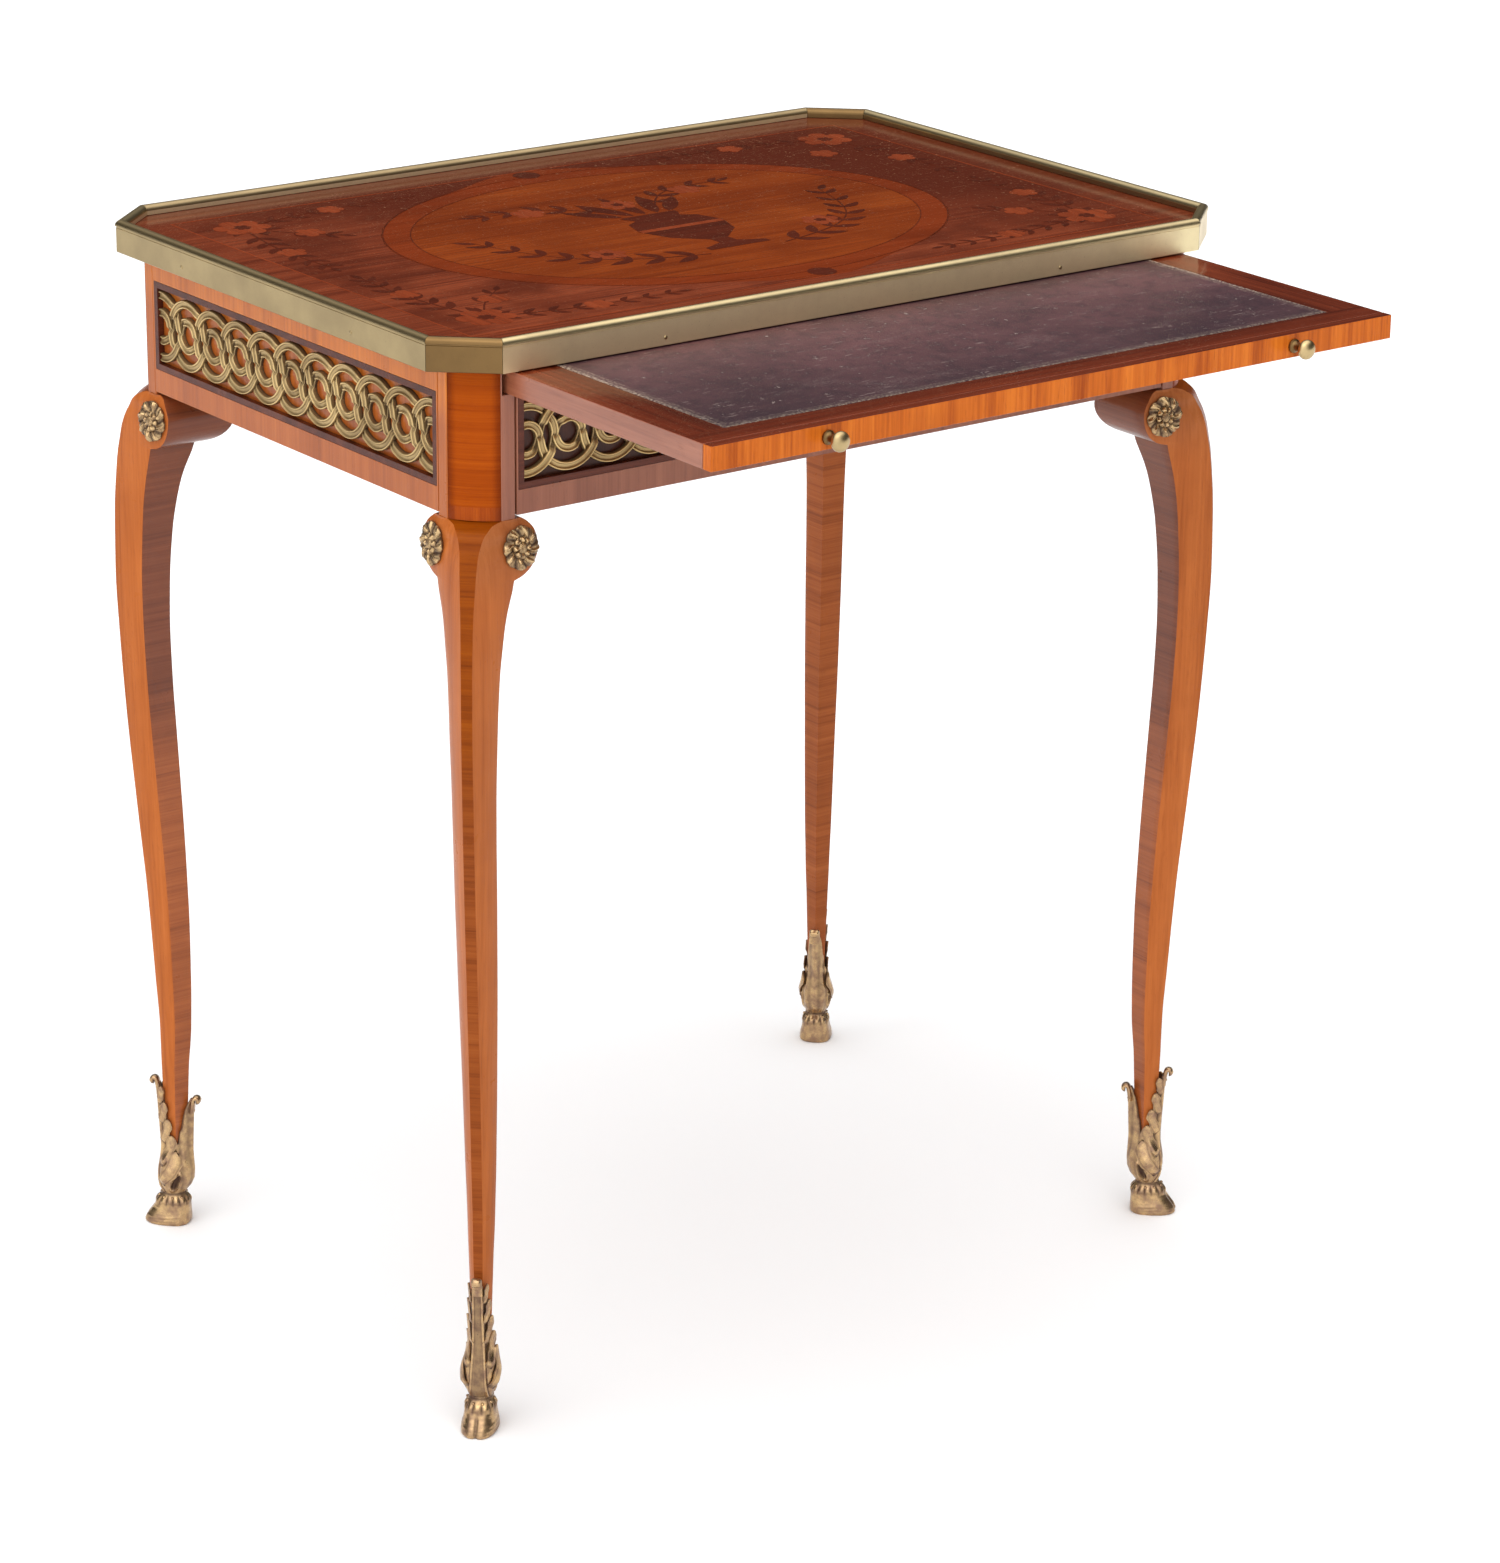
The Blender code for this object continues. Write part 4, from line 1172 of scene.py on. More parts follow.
@dataclass
class Fret(Assembly):
    """Interlaced reeded rings, gilt, lying in a sunk panel."""

    band: float = 0.0054
    bead: float = 0.00068
    shoulder: float = 0.0022
    crown: float = 0.0028
    crest: float = 0.0008
    channel: tuple = ((-0.0008, 0.0024, 0.42), (0.0008, 0.0024, 0.42))
    big: float = 0.02095
    small: float = 0.0095
    recess: float = 0.0043
    dive: float = 0.0015
    slope: float = 0.0021
    end_in: float = 0.0025
    steps: int = 84
    runs: tuple = (("front", 0.253, 16), ("back", 0.2542, 16), ("left", 0.162, 10), ("right", 0.162, 10))

    def section(self) -> list[tuple[float, float, float]]:
        """A channel between two rounded edges, across the band.

        Returns:
            Place, height and hollow mark of each point.
        """
        half = self.band / 2
        # Hollow marks: dark at the band's foot and in the channel, grime together with painted shade
        shape = [(-half, 0.0, 1.0), (-half, self.shoulder, 0.6)]
        for ridge in (-1, 1):
            for i in range(6):
                turn = math.pi * (1 - i / 5)
                x = ridge * (half - self.bead) + math.cos(turn) * self.bead
                rise = math.sin(turn)
                shape.append((x, self.crown + rise * self.crest, 0.75 * (1 - rise)))
            if ridge < 0:
                shape += self.channel
        return shape + [(half, self.shoulder, 0.6), (half, 0.0, 1.0)]

    def dips(self, pitch: float) -> tuple[list[Flat], list[Flat]]:
        """Stretches of the two rings that pass under another band.

        Args:
            pitch: Distance between ring middles.

        Returns:
            Middle angle and half stretch of each, for the big ring and for the small one.
        """
        meet = math.acos(pitch / 2 / self.big)
        cross = self.band / 2 / math.sin(2 * meet) / self.big
        big = [(meet, cross), (math.pi + meet, cross), (math.pi - 0.19, 0.17), (-0.19, 0.17)]
        return big, [(-0.42, 0.38), (math.pi - 0.42, 0.38)]

    def ring(self, radius: float, x: float, dips: Sequence[Flat], half: float) -> Cast:
        """One ring, lying flat, cut off at the panel's ends.

        Args:
            radius: Of its middle line.
            x: Place of its middle.
            dips: Stretches that pass under.
            half: Half the panel's length.

        Returns:
            Points, faces and hollow marks.
        """
        steps = self.steps if radius == self.big else self.steps // 2
        way = round_turn(steps)
        whole = abs(x) + radius + self.band / 2 < half
        if not whole:
            cut = math.acos(max(-1.0, min(1.0, (math.copysign(half, x) - x) / radius)))
            low, high = (cut, 2 * math.pi - cut) if x > 0 else (-cut, cut)
            way = np.linspace(low, high, steps // 2)
        section = self.section()
        rows = []
        for turn in way:
            under = 0.0
            for angle, stretch in dips:
                gap = abs((turn - angle + math.pi) % (2 * math.pi) - math.pi)
                under = max(under, eased(held(1 - (gap - stretch) * radius / self.slope)))
            row = []
            for across, rise, hollow in section:
                height = rise - self.dive * under if rise > 0.001 else 0.0
                place, up = polar(radius + across, turn, x)
                place = place if whole else max(-half, min(half, place))
                # Painted shade, with grime, where the band passes under another
                row.append(((place, up, height), min(1.0, hollow + 0.5 * under * under)))
            rows.append(row)
        return Shape.cast(rows, not whole, whole)

    def frame(self, side: str) -> Matrix:
        """Lays a flat pattern upright on a side of the body.

        Args:
            side: front, back, left or right.

        Returns:
            The matrix, in the table's own frame.
        """
        spots = {"front": (0, -PLAN.body_y, 0), "back": (0, PLAN.body_y, math.pi),
                 "left": (-PLAN.body_x, 0, -math.pi / 2), "right": (PLAN.body_x, 0, math.pi / 2)}
        x, y, turn = spots[side]
        upright = Matrix.Rotation(turn, 4, "Z") @ Matrix.Rotation(math.pi / 2, 4, "X")
        return Matrix.Translation((x, y, PLAN.fret_z)) @ upright @ Matrix.Translation((0, 0, -self.recess))

    def make(self, side: str, half: float, pitches: int) -> Item:
        """One fret.

        Args:
            side: front, back, left or right.
            half: Half its length.
            pitches: How many steps of the pattern it has.

        Returns:
            The object.
        """
        run = 2 * (half - self.end_in)
        big, small = self.dips(run / pitches)
        points, faces, marks = Shape.join(
            self.ring(radius, (i / pitches - 0.5) * run, dips, half)
            for i in range(pitches + 1) for radius, dips in ((self.big, big), (self.small, small)))
        lay = self.frame(side)
        points = [tuple(lay @ Vector(point)) for point in points]
        return Shape.build("fret_rings_" + side, points, faces, (self.finishes.fret,), (), 50, marks)

    def dress(self) -> None:
        """Make and hang all four."""
        for side, half, pitches in self.runs:
            body = "drawer" if side == "front" else "table"
            Shape.settle(self.make(side, half, pitches), body, "gilt_fret", "fret_" + side)


@dataclass
class Gallery(Assembly):
    """Eight mitred lengths of gilt wall with a rounded rim, and their pins."""

    wall: float = 0.003
    rim: float = 0.00375
    groove: float = 0.0003
    back: float = 0.0006
    foot_cut: float = 0.0004
    drops: tuple = (0.0052, 0.005, 0.0043, 0.0039)
    arc: int = 12
    pin: float = 0.0014
    pin_line: tuple = ((-0.002, 0.7), (-0.0008, 0.7), (-0.00078, 1.42), (-0.00066, 1.42), (-0.00064, 0.94),
                       (-0.0004, 0.88), (-0.00018, 0.68), (-0.00006, 0.36), (-0.00003, 0.1))
    pin_seat: float = -0.00063
    pin_y: float = 0.1
    pin_x: float = 0.157
    side_z: float = 0.709
    front_z: float = 0.7075
    names: tuple = ("front_right", "right", "back_right", "back", "back_left", "left", "front_left", "front")

    def profile(self) -> list[tuple[float, float]]:
        """The section, from the outer foot over the rim.

        Returns:
            Inset and height of each point.
        """
        out, sunk, foot, top = self.back, self.back + self.groove, PLAN.gallery_foot, PLAN.height
        line = [(out + self.foot_cut, foot), (out, foot + self.foot_cut)]
        line += [(inset, top - drop) for inset, drop in zip((out, sunk, sunk, 0), self.drops)]
        for i in range(self.arc + 1):
            turn = math.pi * i / self.arc
            line.append((self.rim * (1 - math.cos(turn)), top - self.rim + self.rim * math.sin(turn)))
        line += [(2 * self.rim, PLAN.veneer_top + PLAN.play), (self.wall, PLAN.veneer_top + PLAN.play),
                 (self.wall, foot)]
        return line

    def corners(self) -> tuple[list[Vector], list[Vector]]:
        """The outer face in plan.

        Returns:
            Its corners and the mitre direction at each.
        """
        points = []
        for sx, sy, flip in ((1, -1, 0), (1, 1, 1), (-1, 1, 0), (-1, -1, 1)):
            pair = [Vector((sx * (PLAN.half_width - PLAN.cant_x), sy * PLAN.half_depth)),
                    Vector((sx * PLAN.half_width, sy * (PLAN.half_depth - PLAN.cant_y)))]
            points.extend(reversed(pair) if flip else pair)
        mitres = []
        for i, point in enumerate(points):
            normals = []
            for a, b in ((points[i - 1], point), (point, points[(i + 1) % len(points)])):
                way = (b - a).normalized()
                normals.append(Vector((way.y, -way.x)))
            total = normals[0] + normals[1]
            mitres.append(total * 2 / total.length_squared)
        return points, mitres

    def zones(self, name: str) -> tuple[Material, ...]:
        """Choose a length's finishes.

        Args:
            name: The length.

        Returns:
            Those of its outer face, rim and inner face.
        """
        look = self.finishes
        # Each length takes lit and shaded copies of the gilt by where it faces: painted highlights and
        # painted shade
        bright, plain, rim, gilt_in_shade = look.gallery_front, look.gallery, look.gallery_rim, look.gilt_in_shade
        special = {"front": (bright, rim, bright), "front_right": (rim, rim, plain),
                   "back": (plain, look.gallery_back, bright), "back_left": (plain, rim, bright),
                   "left": (plain, plain, plain), "right": (plain, rim, plain)}
        return special.get(name, (gilt_in_shade, gilt_in_shade, gilt_in_shade))

    def dress(self) -> None:
        """Make and hang the eight lengths and their pins."""
        points, mitres = self.corners()
        for i, name in enumerate(self.names):
            j = (i + 1) % len(points)
            way = (points[j] - points[i]).normalized() * PLAN.play / 2
            rings = [[(*(point + shift - mitre * inset), z) for inset, z in self.profile()]
                     for point, mitre, shift in ((points[i], mitres[i], way), (points[j], mitres[j], -way))]
            kinds = [0] * 4 + [1] * (self.arc + 2) + [2] * (len(rings[0]) - self.arc - 4)
            wall = Shape.build("gallery_wall_" + name, *Shape.skin(rings), self.zones(name), kinds, 30)
            Shape.settle(wall, "table", "gilt_gallery", "gallery_" + name)
        spots = [(side, (sx * PLAN.half_width, y, self.side_z), (sx, 0, 0))
                 for side, sx in (("left", -1), ("right", 1)) for y in (-self.pin_y, self.pin_y)]
        spots += [(side, (x, sy * PLAN.half_depth, self.front_z), (0, sy, 0))
                  for side, sy in (("front", -1), ("back", 1)) for x in (-self.pin_x, self.pin_x)]
        for number, (side, place, out) in enumerate(spots):
            self.nail("gallery_pin_%s_%d" % (side, number), place, out)

    def nail(self, name: str, place: Point, out: Point) -> None:
        """One round-headed pin, its head just inside the rim's reach.

        Args:
            name: The piece's name.
            place: Where it stands on the wall.
            out: Which way it points.
        """
        profile = [(far, radius * self.pin) for far, radius in self.pin_line]
        pin = Shape.turned(name, place, out, profile, 14)
        # Painted shadow: the pin's flange takes the darkest gilt round its plain dome
        Shape.dress(pin, (self.finishes.gallery, self.finishes.gilt_in_shade),
                    lambda middle, _: int((middle - Vector(place)).dot(Vector(out)) < self.pin_seat))
        Shape.settle(pin, "table", "gilt_gallery")


@dataclass
class Carcass(Assembly):
    """Frieze boards, the drawer front, edgings and the plain wood inside."""

    def dress(self) -> None:
        """Give the solids their finishes."""
        look = self.finishes
        self.coat(("frieze_left", "frieze_right", "frieze_back"), look.face_upright)
        self.coat(("drawer_front",), look.drawer_face)
        self.coat(("edging_front", "edging_back", "edging_left", "edging_right"), look.purple)
        self.coat(("bearer_left", "bearer_right", "runner_left", "runner_right", "drawer_side_left",
                   "drawer_side_right", "stop_left", "stop_right"), look.bare_y)
        self.coat(("drawer_back", "drawer_bottom", "front_rail", "top_panel"), look.bare_x)


@dataclass
class Top(Assembly):
    """Veneers of the top, and a generic inlay of twigs, rosettes and an urn."""

    over: float = 0.00012
    under: float = 0.00015
    step: float = 0.000002
    border_x: float = 0.2742
    border_y: float = 0.1763
    string: float = 0.0011
    roundel: float = 0.0095
    roundel_y: float = 0.165
    thread: float = 0.0006
    oval_outer: Flat = (0.198, 0.1605)
    oval_inner: Flat = (0.18, 0.1425)
    layer: float = 0.00003
    spray: Flat = (0.24, 0.142)
    twigs: tuple = ((0.25, 0.018, 0.006, 7, 0.019), (0.106, 0.156, -0.005, 8, 0.015),
                    (0.198, 0.09, 0.004, 3, 0.017))

    def plate(self, outlines: Sequence[Sequence[Flat]], lift: float = 0.0) -> Skin:
        """Thin plates let into the top.

        Args:
            outlines: Plan of each plate.
            lift: Extra height, for a plate let into another.

        Returns:
            Points and faces.
        """
        low = PLAN.veneer_top - self.under
        plates = []
        for number, outline in enumerate(outlines):
            level = PLAN.veneer_top + self.over + lift + number % 12 * self.step
            plates.append((*Shape.skin([[(x, y, z) for x, y in outline] for z in (low, level)]), []))
        return Shape.join(plates)[:2]

    def blade(self, x: float, y: float, turn: float, length: float, width: float,
              bend: float = 0.0) -> list[Flat]:
        """Outline of a pointed leaf.

        Args:
            x: Place of its stalk across.
            y: Place of its stalk in depth.
            turn: Where it points.
            length: Its length.
            width: Its width.
            bend: How far it turns on its way.

        Returns:
            The outline.
        """
        left, right = [], []
        steps = 9
        for i in range(steps + 1):
            share = i / steps
            half = width / 2 * math.sin(math.pi * share ** 0.85) ** 0.8 if 0 < share < 1 else 0.0
            way = turn + bend * share
            if 0 < i < steps:
                left.append((x - math.sin(way) * half, y + math.cos(way) * half))
                right.append((x + math.sin(way) * half, y - math.cos(way) * half))
            else:
                left.append((x, y))
            x += math.cos(way) * length / steps
            y += math.sin(way) * length / steps
        return left + right[::-1]

    def bloom(self, x: float, y: float, radius: float, petals: int, turn: float = 0.0) -> list[Flat]:
        """Outline of a flat flower.

        Args:
            x: Its middle across.
            y: Its middle in depth.
            radius: Its radius.
            petals: How many petals.
            turn: Where the first one points.

        Returns:
            The outline.
        """
        outline = []
        for angle in round_turn(petals * 8):
            reach = radius * (0.66 + 0.34 * abs(math.cos(petals * angle / 2)) ** 0.6)
            outline.append(polar(reach, angle + turn, x, y))
        return outline

    def vine(self, path: Sequence[Flat], width: float) -> list[Flat]:
        """Outline of a stem along a path, narrowing to its end.

        Args:
            path: The path.
            width: Its width at the start.

        Returns:
            The outline.
        """
        left, right = [], []
        for i, (x, y) in enumerate(path):
            ahead, behind = path[min(i + 1, len(path) - 1)], path[max(i - 1, 0)]
            way = Vector((ahead[0] - behind[0], ahead[1] - behind[1])).normalized()
            half = width / 2 * (1 - 0.6 * i / (len(path) - 1))
            left.append((x - way.y * half, y + way.x * half))
            right.append((x + way.y * half, y - way.x * half))
        return left + right[::-1]

    def twig(self, start: Flat, end: Flat, bow: float, leaves: int, size: float) -> list[list[Flat]]:
        """A bowed stem with leaves in pairs.

        Args:
            start: Where it starts.
            end: Where it ends.
            bow: How far its middle stands off the straight.
            leaves: How many pairs.
            size: Length of a leaf.

        Returns:
            The outlines.
        """
        path = []
        dx, dy = end[0] - start[0], end[1] - start[1]
        long = math.hypot(dx, dy)
        for i in range(17):
            share = i / 16
            off = bow * math.sin(math.pi * share)
            path.append((start[0] + dx * share - dy / long * off, start[1] + dy * share + dx / long * off))
        shapes = [self.vine(path, 0.0016)]
        for k in range(leaves):
            spot = int(round((k + 0.6) * 16 / leaves))
            x, y = path[min(spot, 15)]
            after = path[min(spot + 1, 16)]
            turn = math.atan2(after[1] - y, after[0] - x)
            length = size * (1.0 - 0.35 * k / leaves)
            shapes.append(self.blade(x, y, turn + 0.95, length, length * 0.36, -0.5))
            shapes.append(self.blade(x, y, turn - 0.95, length, length * 0.36, 0.5))
        shapes.append(self.blade(*path[-1], math.atan2(dy, dx), size * 0.7, size * 0.25))
        return shapes

    def motifs(self) -> tuple[list[list[Flat]], list[list[Flat]], list[list[Flat]]]:
        """Draw the inlay.

        Returns:
            Outlines of the dark, the red and the small dark plates.
        """
        dark, red, eyes = [], [], []
        for sx in (-1, 1):
            for sy in (-1, 1):
                middle = (sx * self.spray[0], sy * self.spray[1])
                for x, y, bow, leaves, size in self.twigs:
                    dark += self.twig(middle, (sx * x, sy * y), bow * sx * sy, leaves, size)
                for x, y, radius, petals, turn in (
                        (*self.spray, 0.0195, 6, 0.3 * sx), (0.211, 0.106, 0.0105, 5, 0.7 * sy),
                        (0.249, 0.066, 0.01, 5, 0.2), (0.165, 0.154, 0.0095, 5, 0.9)):
                    red.append(self.bloom(sx * x, sy * y, radius, petals, turn))
                eyes.append(self.bloom(*middle, 0.0062, 6, 0.8))
            dark += self.twig((sx * 0.03, -0.088), (sx * 0.14, 0.018), -0.028 * sx, 8, 0.023)
            dark += self.twig((sx * 0.018, 0.04), (sx * 0.098, 0.078), 0.016 * sx, 5, 0.02)
            red.append(self.bloom(sx * 0.086, -0.052, 0.0135, 6))
            red.append(self.bloom(sx * 0.064, 0.07, 0.012, 5))
            eyes.append(self.bloom(sx * 0.086, -0.052, 0.0045, 5))
        urn = [(0.024, -0.08), (0.024, -0.074), (0.007, -0.066), (0.007, -0.056), (0.026, -0.038),
               (0.034, -0.014), (0.028, 0.006), (0.018, 0.012), (0.022, 0.02), (0.022, 0.024)]
        dark.append([(x, y) for x, y in urn] + [(-x, y) for x, y in reversed(urn)])
        for turn in (0.9, 1.25, 1.571, 1.89, 2.24):
            root = 0.01 * math.cos(turn) / math.cos(0.9)
            dark.append(self.blade(root * 1.9, 0.0255, turn, 0.056 - 0.02 * abs(turn - 1.571), 0.011))
        red.append(self.bloom(0.0, 0.058, 0.013, 6))
        red.append([(0.033, -0.018), (0.033, -0.012), (-0.033, -0.012), (-0.033, -0.018)])
        eyes.append(self.bloom(0.0, 0.058, 0.0045, 5))
        for sy in (-1, 1):
            dark.append([polar(self.roundel, turn, 0.0, sy * self.roundel_y) for turn in round_turn(40)])
        return dark, red, eyes

    def line(self, outline: Callable[[float], list[Flat]], width: float) -> Skin:
        """A string line let into the top.

        Args:
            outline: Its plan at an inset.
            width: Width of the line.

        Returns:
            Points and faces.
        """
        section = ((0, -self.under), (0, self.over), (width, self.over), (width, -self.under))
        rings = [[(x, y, PLAN.veneer_top + z) for x, y in outline(inset)] for inset, z in section]
        return Shape.skin(rings + rings[:1], False)

    def border(self, inset: float) -> list[Flat]:
        """Plan of the rectangular line."""
        x, y = self.border_x - inset, self.border_y - inset
        return [(-x, -y), (x, -y), (x, y), (-x, y)]

    @staticmethod
    def oval(half_x: float, half_y: float) -> Callable[[float], list[Flat]]:
        """Plan of an oval line."""
        return lambda inset: [((half_x - inset) * math.cos(turn), (half_y - inset) * math.sin(turn))
                              for turn in round_turn(160)]

    def dress(self) -> None:
        """Give the veneers their finishes and let in the inlay."""
        look = self.finishes
        self.coat(("top_banding",), look.top_band)
        self.coat(("field_left", "field_right"), look.top_field)
        self.coat(("oval_ring",), look.ring)
        self.coat(("oval_medallion",), look.medallion)
        dark, red, eyes = self.motifs()
        outer, inner = self.oval(*self.oval_outer), self.oval(*self.oval_inner)
        for name, skin, finish in (
                ("inlay_leaves", self.plate(dark), look.inlay_dark),
                ("inlay_flowers", self.plate(red, self.layer), look.inlay_red),
                ("inlay_eyes", self.plate(eyes, 2 * self.layer), look.inlay_dark),
                ("string_line", self.line(self.border, self.string), look.inlay_red),
                ("oval_line_outer", self.line(outer, self.thread), look.inlay_dark),
                ("oval_line_inner", self.line(inner, self.thread), look.inlay_dark)):
            Shape.settle(Shape.build(name, *skin, (finish,), (), 30), "table", "top_field")


@dataclass
class Slide(Assembly):
    """Writing slide with its lip, leather and knobs."""

    half_width: float = 0.2655
    front: float = -0.4063
    lip_depth: float = 0.008
    back: float = -0.0413
    bottom: float = 0.686
    top: float = 0.7013
    skin_half: float = 0.2357
    skin_front: float = -0.3785
    skin_back: float = -0.0916
    pocket: float = 0.0012
    skin_sunk: float = 0.0009
    skin_proud: float = 0.00015
    board_round: float = 0.0007
    lip_round: float = 0.0006
    skin_round: float = 0.0003
    knob_x: float = 0.1821
    knob_z: float = 0.69365
    neck: float = 0.0078
    knob: tuple = ((3, 28), (3, 44), (10, 45), (16, 43), (20, 33), (34, 26), (60, 26), (78, 32), (92, 47),
                   (102, 57), (114, 62), (125, 62), (136, 58), (145, 49), (153, 35), (158, 19), (160, 4))

    def board(self) -> Item:
        """The panel with a pocket for its leather.

        Returns:
            The panel.
        """
        start = self.front + self.lip_depth + PLAN.play
        item = Shape.cube("slide_panel", (-self.half_width, start, self.bottom),
                          (self.half_width, self.back, self.top))
        Shape.soften(item, self.board_round)
        reach = self.skin_half + PLAN.play
        near, far = self.skin_front - PLAN.play, self.skin_back + PLAN.play
        for side in (-1, 1):
            Shape.cut(item, (side * reach, 0, 0), (1, 0, 0))
        for place in (near, far):
            Shape.cut(item, (0, place, 0), (0, 1, 0))

        def inside(face: bpy.types.MeshPolygon) -> bool:
            """Whether a face is part of the pocket's plan."""
            y = face.center.y - PLAN.shift
            return face.normal.z > 0.9 and abs(face.center.x) < reach and near < y < far

        Shape.push(item, inside, (0, 0, -self.pocket))

        def choose(middle: Vector, normal: Vector) -> int:
            """Choose a face's finish.

            Args:
                middle: Its middle.
                normal: Its normal.

            Returns:
                0 border across, 1 border along, 2 edge, 3 underside.
            """
            if normal.z < -0.7:
                return 3
            if normal.z < 0.7:
                return 2
            return 1 if abs(middle.x) > reach and near < middle.y < far else 0

        look = self.finishes
        Shape.dress(item, (look.slide_front, look.slide_side, look.slide_edge, look.bare_x), choose)
        return item

    def dress(self) -> None:
        """Model and hang the slide."""
        look = self.finishes
        Shape.settle(self.board(), "writing_slide", "slide_board", "slide_board")
        lip = Shape.cube("slide_lip", (-self.half_width, self.front, self.bottom),
                         (self.half_width, self.front + self.lip_depth, self.top))
        Shape.soften(lip, self.lip_round)
        Shape.dress(lip, (look.lip, look.slide_front), lambda _, normal: int(normal.z > 0.9))
        Shape.settle(lip, "writing_slide", "slide_lipping", "slide_lipping")
        middle = (0.0, (self.skin_front + self.skin_back) / 2 + PLAN.shift, 0.0)
        hide = Leather("slide_leather_hide", middle,
                       (self.skin_half, (self.skin_back - self.skin_front) / 2)).make()
        skin = Shape.cube("writing_leather", (-self.skin_half, self.skin_front, self.top - self.skin_sunk),
                          (self.skin_half, self.skin_back, self.top + self.skin_proud))
        Shape.soften(skin, self.skin_round)
        Shape.dress(skin, (hide,))
        Shape.settle(skin, "writing_slide", "slide_leather", "slide_leather")
        profile = [(far * TENTH, radius * TENTH) for far, radius in self.knob]
        for name, side in (("left", -1), ("right", 1)):
            knob = Shape.turned("pull_knob_" + name, (side * self.knob_x, self.front, self.knob_z),
                                (0, -1, 0), profile, 40)
            # Painted shade: the neck next to the lip takes the darkest gilt
            Shape.dress(knob, (look.knob, look.gilt_in_shade),
                        lambda middle, _: int(self.front - middle.y < self.neck))
            Shape.settle(knob, "writing_slide", "gilt_knob", "knob_" + name)


